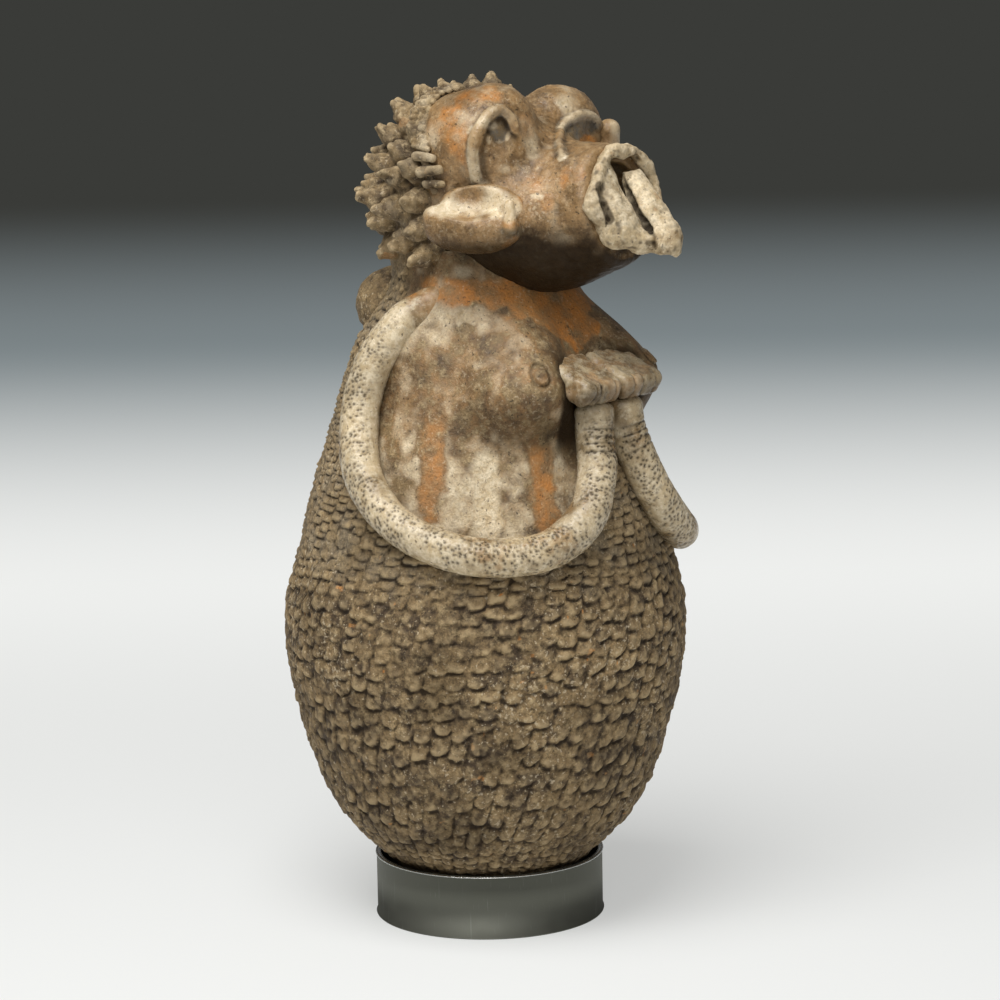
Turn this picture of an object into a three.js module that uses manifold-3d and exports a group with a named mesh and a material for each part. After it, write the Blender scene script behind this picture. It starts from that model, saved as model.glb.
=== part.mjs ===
// A hand-built terracotta vessel in the form of a squat figure, standing in a ring stand.
// Millimetres, +Z up. The origin is the centre of the stand's underside. The figure faces -Y,
// so its right hand is on the -X side. Each lump of clay that the potter joined on with slip is
// one closed solid, and the pot, neck, head and snout are hollow and open into each other.
import * as THREE from "three";
import { mergeVertices } from "three/addons/utils/BufferGeometryUtils.js";
import Module from "manifold-3d";

const wasm = await Module();
wasm.setup();

// Driving dimensions, in millimetres and degrees

const SLIP_GAP = 0.3; // joint between two pieces of clay, and between the foot and its felt

// Ring stand
const STAND_HEIGHT = 35;
const STAND_CLEARANCE = 4.1; // between the ring's bore and the pot, at the ring's top edge
const STAND_WALL = 3.2;
const STAND_DISC_THICKNESS = 6;
const STAND_DISC_PLAY = 0.4; // around the disc, inside the ring
const FELT_DIAMETER = 84;
const FELT_THICKNESS = 5.4;

// Pot wall: each rise is above the station before it, each radius is the outer one
const WALL_THICKNESS = 8;
const FOOT_RADIUS = 30;
const HEEL_RISE = 23;
const HEEL_RADIUS = 56;
const BOWL_RISE = 40;
const BOWL_RADIUS = 89.5;
const BELLY_RISE = 85;
const BELLY_RADIUS = 110;
const WAIST_RISE = 60;
const WAIST_RADIUS = 98;
const CHEST_RISE = 65;
const CHEST_RADIUS = 78.5;
const SHOULDER_RISE = 39;
const SHOULDER_RADIUS = 65;
const NECK_RISE = 26;
const NECK_RADIUS = 48;
const NECK_RIM_RISE = 23; // the head's underside is bedded in this rim
const BOWL_RIM_RISE = 33; // above the bowl's station, where it stiffened before the coils went on
const BELLY_RIM_DROP = 6; // below the waist, where the belly coils end and the torso begins

// Pellets pressed on the wall, the main ones of many: thick at the lower edge, in leaning columns
const PELLET_SPACING = 20.5; // between columns
const PELLET_PITCH = 19; // between rows, at least
const PELLET_WIDTH = 14;
const PELLET_HEIGHT = 12;
const PELLET_RELIEF = 2.4;
const PELLET_ROOT = 3; // of its back in the wall
const PELLET_SINK = 0.6; // of its upper edge in the wall
const PELLET_LEAN_ANGLE = 16;
const PELLET_CLEARANCE = 1; // to the arms and the knot
const PELLET_FOOT_RISE = 44; // of the lowest row's edge above the foot
const CHEST_HALF_ANGLE = 106; // of the smooth chest between the arms, from straight ahead

// Head: a hollow cranium, with a snout that is cut off at a slant by the mouth
const HEAD_RISE = 52; // of the cranium's centre above the narrowest part of the neck
const HEAD_FORWARD = 8;
const CRANIUM_HALF_WIDTH = 54;
const CRANIUM_HALF_DEPTH = 55;
const CRANIUM_HALF_HEIGHT = 50;
const SNOUT_LENGTH = 92; // from the cranium's centre to the middle of the mouth
const SNOUT_DROP = 4; // of the snout's axis below the cranium's centre
const SNOUT_ROOT_RADIUS = 50;
const SNOUT_TIP_RADIUS = 29.5;
const SNOUT_WALL = 7;
const THROAT_RADIUS = 24; // of the hole from the cranium into the snout
const MOUTH_TILT_ANGLE = 20; // how far the mouth looks up
const RIM_WIDTH = 8.5;
const RIM_THICKNESS = 9;
const TONGUE_HALF_WIDTH = 9;
const TONGUE_HALF_LENGTH = 34;
const TONGUE_HALF_THICKNESS = 9;
const TONGUE_LEAN_ANGLE = 36; // from upright, with the tip over the lower lip
const TONGUE_FORWARD = 7;
const JAW_HALF_WIDTH = 35;
const JAW_HALF_DEPTH = 31;
const JAW_HALF_HEIGHT = 26;
const JAW_FORWARD = 46; // from the cranium's centre
const JAW_DROP = 30;

// Brows, eyes, ears and hair, placed from the cranium's centre
const BROW_SPREAD = 31;
const BROW_FORWARD = 22;
const BROW_RISE = 24;
const BROW_RADIUS = 28;
const EYE_OUTWARD_ANGLE = 20; // gaze, turned from straight ahead
const EYE_UPWARD_ANGLE = 8; // gaze, raised from level
const EYELID_RADIUS = 17;
const EYELID_THICKNESS = 7;
const EYELID_SWEEP_ANGLE = 200;
const EYE_RADIUS = 9;
const EYE_HEIGHT = 3.5;
const EAR_SPREAD = 54;
const EAR_FORWARD = 34;
const EAR_DROP = 10;
const EAR_LENGTH = 56;
const EAR_HEIGHT = 36;
const EAR_THICKNESS = 18;
const EAR_SPLAY_ANGLE = 24; // of the ear's tip away from the head
const EAR_RIGHT_ANGLE = 0; // of the ear's tip above level
const EAR_LEFT_ANGLE = 50;
const HAIR_THICKNESS = 5;
const HAIRLINE_BACK = 12; // of the hair's front edge behind the cranium's centre
const HAIR_HEM_DROP = 44;
const LOCK_RADIUS = 6.5;
const LOCK_LENGTH = 12;
const LOCK_ROWS = 6;
const LOCK_SPACING = 15;
const FRINGE_THICKNESS = 9;
const FRINGE_TEETH = 9;
const FRINGE_NOTCH = 0.28; // depth of the notches, as a share of the roll
const FRINGE_START_ANGLE = 8; // of the fringe's lower end, above the level of the cranium's centre
const FRINGE_END_ANGLE = 66;
const KNOT_RADIUS = 22;
const KNOT_STANDOFF = 1; // of the nape knot's centre from the wall
const KNOT_DROP = 15; // of its centre below the narrowest part of the neck

// Breasts, arms and hands, placed by an angle from straight ahead
const BREAST_ANGLE = 32;
const BREAST_SINK = 14; // of the breast's centre inside the wall's face
const BREAST_RISE = 17; // above the chest's station
const BREAST_HALF_WIDTH = 35;
const BREAST_HALF_DEPTH = 37;
const BREAST_HALF_HEIGHT = 33;
const NIPPLE_RADIUS = 4;
const ARM_DIAMETER = 24;
const WRIST_DIAMETER = 19;
const ARM_STANDOFF = 8; // of the arm's centre line from the wall
const WRIST_STANDOFF = 12;
const ELBOW_SAG_RIGHT = 0; // of the elbow below its route
const ELBOW_SAG_LEFT = 10;
const HAND_WIDTH = 33;
const HAND_LENGTH = 34;
const HAND_THICKNESS = 13;
const HAND_OVERHANG = 24.5; // of the finger tips beyond the wall
const HAND_RISE = 13; // of the finger tips above the chest's station
const HAND_DROOP_ANGLE = 26;
const HAND_INSET = 1.5; // from the figure's middle plane
const FINGERS = 4;

// Facets
const WALL_SIDES = 40;
const ROUND_SIDES = 20;
const PROFILE_STEPS = 15;
const ARM_STEPS = 22;
const LID_STEPS = 12;
const LEAST_SIDES = 8; // of the smallest ball
const RINGS_PER_SIDE = 0.64; // of a ball's facets from pole to pole
const TUBE_SIDES = 8;
const LOCK_SIDES = 5;

// Places that follow from the driving dimensions: heights are above the foot
const HEEL_HEIGHT = HEEL_RISE;
const BOWL_HEIGHT = HEEL_HEIGHT + BOWL_RISE;
const BELLY_HEIGHT = BOWL_HEIGHT + BELLY_RISE;
const WAIST_HEIGHT = BELLY_HEIGHT + WAIST_RISE;
const CHEST_HEIGHT = WAIST_HEIGHT + CHEST_RISE;
const SHOULDER_HEIGHT = CHEST_HEIGHT + SHOULDER_RISE;
const NECK_HEIGHT = SHOULDER_HEIGHT + NECK_RISE;
const NECK_RIM_HEIGHT = NECK_HEIGHT + NECK_RIM_RISE;
const BOWL_RIM_HEIGHT = BOWL_HEIGHT + BOWL_RIM_RISE;
const BELLY_RIM_HEIGHT = WAIST_HEIGHT - BELLY_RIM_DROP;
const KNOT_HEIGHT = NECK_HEIGHT - KNOT_DROP;
const BREAST_HEIGHT = CHEST_HEIGHT + BREAST_RISE;
const HAND_HEIGHT = CHEST_HEIGHT + HAND_RISE;
const FOOT_Z = STAND_DISC_THICKNESS + FELT_THICKNESS + 2 * SLIP_GAP;
const NECK_Z = FOOT_Z + NECK_HEIGHT;
const HEAD_CENTRE = new THREE.Vector3(0, -HEAD_FORWARD, NECK_Z + HEAD_RISE);
const MOUTH_CENTRE = HEAD_CENTRE.clone().add(new THREE.Vector3(0, -SNOUT_LENGTH, -SNOUT_DROP));
const FAR = 2000; // longer than any piece, for half-space cutters

const radians = THREE.MathUtils.degToRad;

// Materials: fired clay in its several slips, patinated steel, wood and felt
const clay = (color, roughness) => new THREE.MeshStandardMaterial({ color, roughness, metalness: 0 });
const MATERIALS = {
  body: clay("#6b5d49", 0.9),
  ochre: clay("#a3704a", 0.6),
  chest: clay("#8a7558", 0.75),
  limb: clay("#b3a486", 0.6),
  hair: clay("#7d6e57", 0.9),
  mouth: clay("#a79c86", 0.85),
  eye: clay("#5a4a3a", 0.35),
  steel: new THREE.MeshStandardMaterial({ color: "#3d3e3a", roughness: 0.4, metalness: 0.85 }),
  wood: new THREE.MeshStandardMaterial({ color: "#2e2721", roughness: 0.7, metalness: 0 }),
  felt: new THREE.MeshStandardMaterial({ color: "#191919", roughness: 1, metalness: 0 }),
};

// Solids: closed three.js geometry in, manifold out, and back again

function solidOf(geometry) {
  const bare = geometry.clone();
  bare.deleteAttribute("normal");
  bare.deleteAttribute("uv");
  const merged = mergeVertices(bare, 1e-4);
  const corners = merged.index.array;
  const triVerts = [];
  for (let i = 0; i < corners.length; i += 3) {
    const [a, b, c] = corners.subarray(i, i + 3);
    if (a !== b && b !== c && c !== a) triVerts.push(a, b, c);
  }
  return new wasm.Manifold(
    new wasm.Mesh({
      numProp: 3,
      vertProperties: merged.getAttribute("position").array,
      triVerts: new Uint32Array(triVerts),
    }),
  );
}

function geometryOf(solid) {
  const mesh = solid.getMesh();
  const positions = new Float32Array(mesh.numVert * 3);
  for (let i = 0; i < mesh.numVert; i += 1) {
    positions.set(mesh.vertProperties.subarray(i * mesh.numProp, i * mesh.numProp + 3), i * 3);
  }
  const geometry = new THREE.BufferGeometry();
  geometry.setAttribute("position", new THREE.BufferAttribute(positions, 3));
  geometry.setIndex(new THREE.BufferAttribute(mesh.triVerts, 1));
  geometry.computeVertexNormals();
  return geometry;
}

// The largest lump of a cut solid: crumbs that a cut leaves behind are brushed off.
function mainLump(solid) {
  const lumps = solid.decompose();
  return lumps.reduce((best, lump) => (lump.volume() > best.volume() ? lump : best));
}

function cutBy(solid, ...cutters) {
  return mainLump(cutters.reduce((rest, cutter) => rest.subtract(cutter), solid));
}

// Basic shapes

// A smaller ball gets fewer facets.
function facetsAround(radius) {
  return THREE.MathUtils.clamp(LEAST_SIDES + 2 * Math.floor(radius / LEAST_SIDES), LEAST_SIDES, ROUND_SIDES);
}

function ellipsoid(centre, radii, turn = new THREE.Matrix4()) {
  const sides = facetsAround(Math.max(...radii));
  const geometry = new THREE.SphereGeometry(1, sides, Math.round(sides * RINGS_PER_SIDE));
  geometry.rotateX(Math.PI / 2);
  geometry.scale(...radii);
  geometry.applyMatrix4(turn);
  geometry.translate(centre.x, centre.y, centre.z);
  return solidOf(geometry);
}

// A body of revolution about Z from a profile of [radius, height] that runs up its outside.
function turned(profile, sides) {
  const points = profile.map(([radius, height]) => new THREE.Vector2(radius, height));
  const geometry = new THREE.LatheGeometry([...points, points[0]], sides);
  geometry.rotateX(Math.PI / 2);
  return geometry;
}

// Everything on the far side of a plane, as a large block.
function beyond(point, normal) {
  const geometry = new THREE.BoxGeometry(FAR, FAR, FAR);
  geometry.translate(0, 0, FAR / 2);
  const turn = new THREE.Quaternion().setFromUnitVectors(new THREE.Vector3(0, 0, 1), normal);
  geometry.applyQuaternion(turn);
  geometry.translate(point.x, point.y, point.z);
  return solidOf(geometry);
}

// A round bar along a curve, with a radius that may change on its way, closed by flat ends.
function bar(curve, radiusAt, steps, sides) {
  const frames = curve.computeFrenetFrames(steps, false);
  const positions = [];
  const index = [];
  for (let step = 0; step <= steps; step += 1) {
    const share = step / steps;
    const centre = curve.getPointAt(share);
    for (let side = 0; side < sides; side += 1) {
      const angle = (2 * Math.PI * side) / sides;
      const point = centre
        .clone()
        .addScaledVector(frames.normals[step], radiusAt(share) * Math.cos(angle))
        .addScaledVector(frames.binormals[step], radiusAt(share) * Math.sin(angle));
      positions.push(point.x, point.y, point.z);
    }
  }
  const at = (step, side) => step * sides + (side % sides);
  for (let step = 0; step < steps; step += 1) {
    for (let side = 0; side < sides; side += 1) {
      index.push(at(step, side), at(step, side + 1), at(step + 1, side + 1));
      index.push(at(step, side), at(step + 1, side + 1), at(step + 1, side));
    }
  }
  for (let side = 1; side < sides - 1; side += 1) {
    index.push(at(0, 0), at(0, side + 1), at(0, side));
    index.push(at(steps, 0), at(steps, side), at(steps, side + 1));
  }
  const geometry = new THREE.BufferGeometry();
  geometry.setAttribute("position", new THREE.Float32BufferAttribute(positions, 3));
  geometry.setIndex(index);
  return solidOf(geometry);
}

function mirrored(solid) {
  return solid.mirror([1, 0, 0]);
}

// Pot wall

const WALL_CURVE = new THREE.SplineCurve(
  [
    [FOOT_RADIUS, 0],
    [HEEL_RADIUS, HEEL_HEIGHT],
    [BOWL_RADIUS, BOWL_HEIGHT],
    [BELLY_RADIUS, BELLY_HEIGHT],
    [WAIST_RADIUS, WAIST_HEIGHT],
    [CHEST_RADIUS, CHEST_HEIGHT],
    [SHOULDER_RADIUS, SHOULDER_HEIGHT],
    [NECK_RADIUS, NECK_HEIGHT],
  ].map(([radius, height]) => new THREE.Vector2(radius, height)),
);
const WALL_POINTS = WALL_CURVE.getSpacedPoints(PROFILE_STEPS);

// The wall's outer radius at a height above the foot. It runs straight up from the neck.
function wallRadius(height) {
  if (height >= NECK_HEIGHT) return NECK_RADIUS;
  const upper = Math.max(1, WALL_POINTS.findIndex((point) => point.y >= height));
  const [a, b] = [WALL_POINTS[upper - 1], WALL_POINTS[upper]];
  return THREE.MathUtils.lerp(a.x, b.x, (height - a.y) / (b.y - a.y));
}

function stagesBetween(low, high) {
  const inside = WALL_POINTS.map((point) => point.y).filter((height) => height > low + 1 && height < high - 1);
  return [low, ...inside, high];
}

// One stage of the wall, from one height above the foot to another.
function wallStage(low, high) {
  const heights = stagesBetween(low, high);
  const outside = heights.map((height) => [wallRadius(height), FOOT_Z + height]);
  const inside = heights.map((height) => [wallRadius(height) - WALL_THICKNESS, FOOT_Z + height]);
  return turned([...outside, ...inside.reverse()], WALL_SIDES);
}

// The base bowl has a floor as thick as its wall.
function baseBowl() {
  const outside = stagesBetween(0, BOWL_RIM_HEIGHT).map((height) => [wallRadius(height), FOOT_Z + height]);
  const inside = stagesBetween(WALL_THICKNESS, BOWL_RIM_HEIGHT).map((height) => [
    wallRadius(height) - WALL_THICKNESS,
    FOOT_Z + height,
  ]);
  return turned([[0, FOOT_Z], ...outside, ...inside.reverse(), [0, FOOT_Z + WALL_THICKNESS]], WALL_SIDES);
}

// The pot and neck filled solid and grown by the slip gap, which shapes whatever is joined to it.
function filledWall() {
  const heights = stagesBetween(0, NECK_RIM_HEIGHT);
  const outside = heights.map((height) => [wallRadius(height) + SLIP_GAP, FOOT_Z + height]);
  return solidOf(turned([[0, FOOT_Z], ...outside, [0, FOOT_Z + NECK_RIM_HEIGHT]], WALL_SIDES));
}

// Head

function cranium(grow) {
  return ellipsoid(HEAD_CENTRE, [
    CRANIUM_HALF_WIDTH + grow,
    CRANIUM_HALF_DEPTH + grow,
    CRANIUM_HALF_HEIGHT + grow,
  ]);
}

const MOUTH_NORMAL = new THREE.Vector3(0, -Math.cos(radians(MOUTH_TILT_ANGLE)), Math.sin(radians(MOUTH_TILT_ANGLE)));

// The snout's cone, level, from the cranium's centre line to well past the mouth.
function snoutCone(grow) {
  const overshoot = SNOUT_LENGTH / 2;
  const taper = (SNOUT_ROOT_RADIUS - SNOUT_TIP_RADIUS) / SNOUT_LENGTH;
  const tip = SNOUT_TIP_RADIUS - taper * overshoot;
  const geometry = turned(
    [
      [0, 0],
      [SNOUT_ROOT_RADIUS + grow, 0],
      [tip + grow, SNOUT_LENGTH + overshoot],
      [0, SNOUT_LENGTH + overshoot],
    ],
    ROUND_SIDES,
  );
  geometry.rotateX(Math.PI / 2);
  geometry.translate(0, HEAD_CENTRE.y, MOUTH_CENTRE.z);
  return solidOf(geometry);
}

const filled = filledWall();
const neckBore = solidOf(
  turned(
    [
      [0, NECK_Z],
      [NECK_RADIUS - WALL_THICKNESS, NECK_Z],
      [NECK_RADIUS - WALL_THICKNESS, HEAD_CENTRE.z],
      [0, HEAD_CENTRE.z],
    ],
    WALL_SIDES,
  ),
);
const throat = solidOf(
  new THREE.CylinderGeometry(THROAT_RADIUS, THROAT_RADIUS, CRANIUM_HALF_DEPTH * 2, ROUND_SIDES).translate(
    0,
    HEAD_CENTRE.y - CRANIUM_HALF_DEPTH,
    MOUTH_CENTRE.z,
  ),
);
const craniumGrown = cranium(SLIP_GAP);
const snoutGrown = snoutCone(SLIP_GAP).subtract(beyond(MOUTH_CENTRE, MOUTH_NORMAL));

function neckRing() {
  const ring = solidOf(wallStage(SHOULDER_HEIGHT + SLIP_GAP, NECK_RIM_HEIGHT));
  return cutBy(ring, craniumGrown);
}

function craniumShell() {
  const hollow = cranium(-WALL_THICKNESS);
  return cutBy(cranium(0), hollow, neckBore, throat);
}

const RIM_BACK = MOUTH_CENTRE.clone().addScaledVector(MOUTH_NORMAL, -RIM_THICKNESS / 2 - SLIP_GAP);

function snoutTube() {
  const open = beyond(RIM_BACK, MOUTH_NORMAL);
  return cutBy(snoutCone(0), snoutCone(-SNOUT_WALL), open, craniumGrown, filled);
}

function jaw() {
  const centre = HEAD_CENTRE.clone().add(new THREE.Vector3(0, -JAW_FORWARD, -JAW_DROP));
  const lump = ellipsoid(centre, [JAW_HALF_WIDTH, JAW_HALF_DEPTH, JAW_HALF_HEIGHT]);
  return cutBy(lump, craniumGrown, snoutGrown, filled);
}

// The lip is a flattened roll of clay around the mouth.
function mouthRim(grow) {
  const middle = SNOUT_TIP_RADIUS - RIM_WIDTH / 2;
  const profile = [];
  for (let corner = 0; corner < TUBE_SIDES; corner += 1) {
    const angle = (2 * Math.PI * (corner + 0.5)) / TUBE_SIDES;
    profile.push([
      middle + (RIM_WIDTH / 2 + grow) * Math.cos(angle),
      (RIM_THICKNESS / 2 + grow) * Math.sin(angle),
    ]);
  }
  const geometry = turned(profile, ROUND_SIDES);
  geometry.applyQuaternion(new THREE.Quaternion().setFromUnitVectors(new THREE.Vector3(0, 0, 1), MOUTH_NORMAL));
  geometry.translate(MOUTH_CENTRE.x, MOUTH_CENTRE.y, MOUTH_CENTRE.z);
  return solidOf(geometry);
}

const middlePlane = beyond(new THREE.Vector3(-SLIP_GAP / 2, 0, 0), new THREE.Vector3(1, 0, 0));
const rimGrown = mouthRim(SLIP_GAP);

// One half of the grooved tongue, which lies on the lower lip.
function tongueRight() {
  const centre = MOUTH_CENTRE.clone().add(new THREE.Vector3(-TONGUE_HALF_WIDTH, -TONGUE_FORWARD, 0));
  const lean = new THREE.Matrix4().makeRotationX(radians(-TONGUE_LEAN_ANGLE));
  const lobe = ellipsoid(centre, [TONGUE_HALF_WIDTH, TONGUE_HALF_THICKNESS, TONGUE_HALF_LENGTH], lean);
  const snoutWall = snoutGrown.subtract(snoutCone(-SNOUT_WALL - SLIP_GAP));
  return cutBy(lobe, rimGrown, snoutWall, middlePlane);
}

const BROW_CENTRE = HEAD_CENTRE.clone().add(new THREE.Vector3(-BROW_SPREAD, -BROW_FORWARD, BROW_RISE));

function brow(grow) {
  const radius = BROW_RADIUS + grow;
  return ellipsoid(BROW_CENTRE, [radius, radius, radius]);
}

const browGrown = brow(SLIP_GAP);

function browRight() {
  return cutBy(brow(0), craniumGrown, snoutGrown, middlePlane);
}

// The gaze's frame: its third axis looks out of the brow, its second points to the top of the lid.
function gazeFrame() {
  const frame = new THREE.Matrix4().makeRotationZ(radians(-EYE_OUTWARD_ANGLE));
  frame.multiply(new THREE.Matrix4().makeRotationX(radians(90 - EYE_UPWARD_ANGLE)));
  frame.setPosition(BROW_CENTRE);
  return frame;
}

// A ring on the brow's sphere, of which the lid takes the upper part.
class LidCurve extends THREE.Curve {
  getPoint(share, target = new THREE.Vector3()) {
    const angle = radians(90 + EYELID_SWEEP_ANGLE * (share - 0.5));
    const height = Math.sqrt(BROW_RADIUS ** 2 - EYELID_RADIUS ** 2);
    target.set(EYELID_RADIUS * Math.cos(angle), EYELID_RADIUS * Math.sin(angle), height);
    return target.applyMatrix4(gazeFrame());
  }
}

function eyelidRight() {
  const lid = bar(new LidCurve(), () => EYELID_THICKNESS / 2, LID_STEPS, TUBE_SIDES);
  return cutBy(lid, browGrown, craniumGrown, snoutGrown, middlePlane);
}

function eyeRight() {
  const centre = new THREE.Vector3(0, 0, BROW_RADIUS).applyMatrix4(gazeFrame());
  const turn = new THREE.Matrix4().extractRotation(gazeFrame());
  const ball = ellipsoid(centre, [EYE_RADIUS, EYE_RADIUS, EYE_HEIGHT], turn);
  return cutBy(ball, browGrown, craniumGrown, snoutGrown);
}

const jawGrown = ellipsoid(HEAD_CENTRE.clone().add(new THREE.Vector3(0, -JAW_FORWARD, -JAW_DROP)), [
  JAW_HALF_WIDTH + SLIP_GAP,
  JAW_HALF_DEPTH + SLIP_GAP,
  JAW_HALF_HEIGHT + SLIP_GAP,
]);

function ear(lift, grow) {
  const centre = HEAD_CENTRE.clone().add(new THREE.Vector3(-EAR_SPREAD, -EAR_FORWARD, -EAR_DROP));
  const radii = [EAR_THICKNESS / 2 + grow, EAR_LENGTH / 2 + grow, EAR_HEIGHT / 2 + grow];
  const turn = new THREE.Matrix4().makeRotationZ(radians(EAR_SPLAY_ANGLE));
  turn.multiply(new THREE.Matrix4().makeRotationX(radians(lift)));
  return ellipsoid(centre, radii, turn);
}

function earOnHead(lift) {
  return cutBy(ear(lift, 0), craniumGrown, snoutGrown, jawGrown, browGrown, filled);
}

// Hair: a cap over the back of the cranium, set with pinched locks in rings about its rear pole

const HAIRLINE_Y = HEAD_CENTRE.y + HAIRLINE_BACK;
const KNOT_CENTRE = new THREE.Vector3(0, wallRadius(KNOT_HEIGHT) + KNOT_STANDOFF, FOOT_Z + KNOT_HEIGHT);

function knot(grow) {
  const radius = KNOT_RADIUS + grow;
  return ellipsoid(KNOT_CENTRE, [radius, radius, radius]);
}

function lock(direction) {
  const root = direction
    .clone()
    .multiply(new THREE.Vector3(CRANIUM_HALF_WIDTH, CRANIUM_HALF_DEPTH, CRANIUM_HALF_HEIGHT))
    .addScaledVector(direction, HAIR_THICKNESS / 2);
  const height = LOCK_LENGTH + HAIR_THICKNESS / 2;
  const geometry = new THREE.ConeGeometry(LOCK_RADIUS, height, LOCK_SIDES);
  geometry.translate(0, height / 2, 0);
  geometry.applyQuaternion(new THREE.Quaternion().setFromUnitVectors(new THREE.Vector3(0, 1, 0), direction));
  geometry.translate(HEAD_CENTRE.x + root.x, HEAD_CENTRE.y + root.y, HEAD_CENTRE.z + root.z);
  return solidOf(geometry);
}

function hairCap() {
  const face = beyond(new THREE.Vector3(0, HAIRLINE_Y, 0), new THREE.Vector3(0, -1, 0));
  const hem = beyond(new THREE.Vector3(0, 0, HEAD_CENTRE.z - HAIR_HEM_DROP), new THREE.Vector3(0, 0, -1));
  let cap = cranium(HAIR_THICKNESS).subtract(face).subtract(hem);
  for (let row = 0; row < LOCK_ROWS; row += 1) {
    const tilt = (row / LOCK_ROWS) * (Math.PI / 2);
    const around = Math.max(1, Math.round((2 * Math.PI * CRANIUM_HALF_DEPTH * Math.sin(tilt)) / LOCK_SPACING));
    for (let place = 0; place < around; place += 1) {
      const turn = (2 * Math.PI * (place + (row % 2) / 2)) / around;
      const direction = new THREE.Vector3(
        Math.sin(tilt) * Math.cos(turn),
        Math.cos(tilt),
        Math.sin(tilt) * Math.sin(turn),
      );
      if (direction.z * CRANIUM_HALF_HEIGHT > LOCK_RADIUS - HAIR_HEM_DROP) cap = cap.add(lock(direction));
    }
  }
  const ears = [ear(EAR_RIGHT_ANGLE, SLIP_GAP), mirrored(ear(EAR_LEFT_ANGLE, SLIP_GAP))];
  return cutBy(cap, craniumGrown, filled, face, knot(SLIP_GAP), ...ears);
}

// The fringe: a notched roll of clay along the hairline, from above the ear to near the crown.
class FringeCurve extends THREE.Curve {
  getPoint(share, target = new THREE.Vector3()) {
    const angle = radians(THREE.MathUtils.lerp(FRINGE_START_ANGLE, FRINGE_END_ANGLE, share));
    const y = HAIRLINE_Y - FRINGE_THICKNESS / 2 - SLIP_GAP;
    const slice = Math.sqrt(1 - ((y - HEAD_CENTRE.y) / CRANIUM_HALF_DEPTH) ** 2);
    return target.set(
      HEAD_CENTRE.x - CRANIUM_HALF_WIDTH * slice * Math.cos(angle),
      y,
      HEAD_CENTRE.z + CRANIUM_HALF_HEIGHT * slice * Math.sin(angle),
    );
  }
}

function fringe(earLift) {
  const tooth = (share) => Math.abs(Math.sin(Math.PI * FRINGE_TEETH * share));
  const radiusAt = (share) => (FRINGE_THICKNESS / 2) * (1 - FRINGE_NOTCH + FRINGE_NOTCH * tooth(share));
  const roll = bar(new FringeCurve(), radiusAt, 2 * FRINGE_TEETH, LOCK_SIDES);
  return cutBy(roll, craniumGrown, browGrown, ear(earLift, SLIP_GAP));
}

function napeKnot() {
  return cutBy(knot(0), filled, craniumGrown);
}

// Breasts, arms and hands

function onBody(angle, radius, height) {
  return new THREE.Vector3(
    -radius * Math.sin(radians(angle)),
    -radius * Math.cos(radians(angle)),
    FOOT_Z + height,
  );
}

const BREAST_OUT = wallRadius(BREAST_HEIGHT) - BREAST_SINK;

function breast(grow) {
  const centre = onBody(BREAST_ANGLE, BREAST_OUT, BREAST_HEIGHT);
  const radii = [BREAST_HALF_WIDTH + grow, BREAST_HALF_DEPTH + grow, BREAST_HALF_HEIGHT + grow];
  return ellipsoid(centre, radii, new THREE.Matrix4().makeRotationZ(radians(-BREAST_ANGLE)));
}

const breastGrown = breast(SLIP_GAP);

function breastRight() {
  return cutBy(breast(0), filled, middlePlane);
}

function nipple(grow) {
  const centre = onBody(BREAST_ANGLE, BREAST_OUT + BREAST_HALF_DEPTH, BREAST_HEIGHT);
  const radius = NIPPLE_RADIUS + grow;
  return ellipsoid(centre, [radius, radius, radius]);
}

function nippleRight() {
  return cutBy(nipple(0), breastGrown);
}

// The arm's way over the wall, from inside the shoulder round the elbow to the wrist: angle from
// straight ahead, height above the foot, and how far its centre line stands off the wall.
const ARM_ROUTE = [
  [66, NECK_HEIGHT + ARM_DIAMETER / 3, -ARM_DIAMETER / 4],
  [79, NECK_HEIGHT, ARM_STANDOFF / 2],
  [93, SHOULDER_HEIGHT + ARM_DIAMETER / 2, ARM_STANDOFF],
  [100, SHOULDER_HEIGHT - ARM_DIAMETER / 2, ARM_STANDOFF],
  [99, CHEST_HEIGHT - ARM_DIAMETER / 8, ARM_STANDOFF],
  [91, WAIST_HEIGHT + ARM_DIAMETER * 1.45, ARM_STANDOFF],
  [76, WAIST_HEIGHT + ARM_DIAMETER * 0.55, ARM_STANDOFF],
  [56, WAIST_HEIGHT, ARM_STANDOFF],
  [35, WAIST_HEIGHT, ARM_STANDOFF],
  [19, WAIST_HEIGHT + ARM_DIAMETER * 0.55, ARM_STANDOFF],
  [10.5, WAIST_HEIGHT + ARM_DIAMETER * 1.4, ARM_STANDOFF],
  [7, CHEST_HEIGHT - ARM_DIAMETER / 3, ARM_STANDOFF],
  [6.5, HAND_HEIGHT - HAND_THICKNESS / 4, WRIST_STANDOFF],
];

function armCurve(sag) {
  const last = ARM_ROUTE.length - 1;
  const points = ARM_ROUTE.map(([angle, routeHeight, standoff], place) => {
    const height = routeHeight - sag * Math.sin((Math.PI * place) / last) ** 2;
    return onBody(angle, wallRadius(height) + standoff, height);
  });
  return new THREE.CatmullRomCurve3(points);
}

function arm(sag, grow) {
  const radiusAt = (share) => THREE.MathUtils.lerp(ARM_DIAMETER, WRIST_DIAMETER, share) / 2 + grow;
  return bar(armCurve(sag), radiusAt, ARM_STEPS, TUBE_SIDES);
}

function armOnBody(sag) {
  return cutBy(arm(sag, 0), filled, breastGrown, craniumGrown, middlePlane);
}

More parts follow.
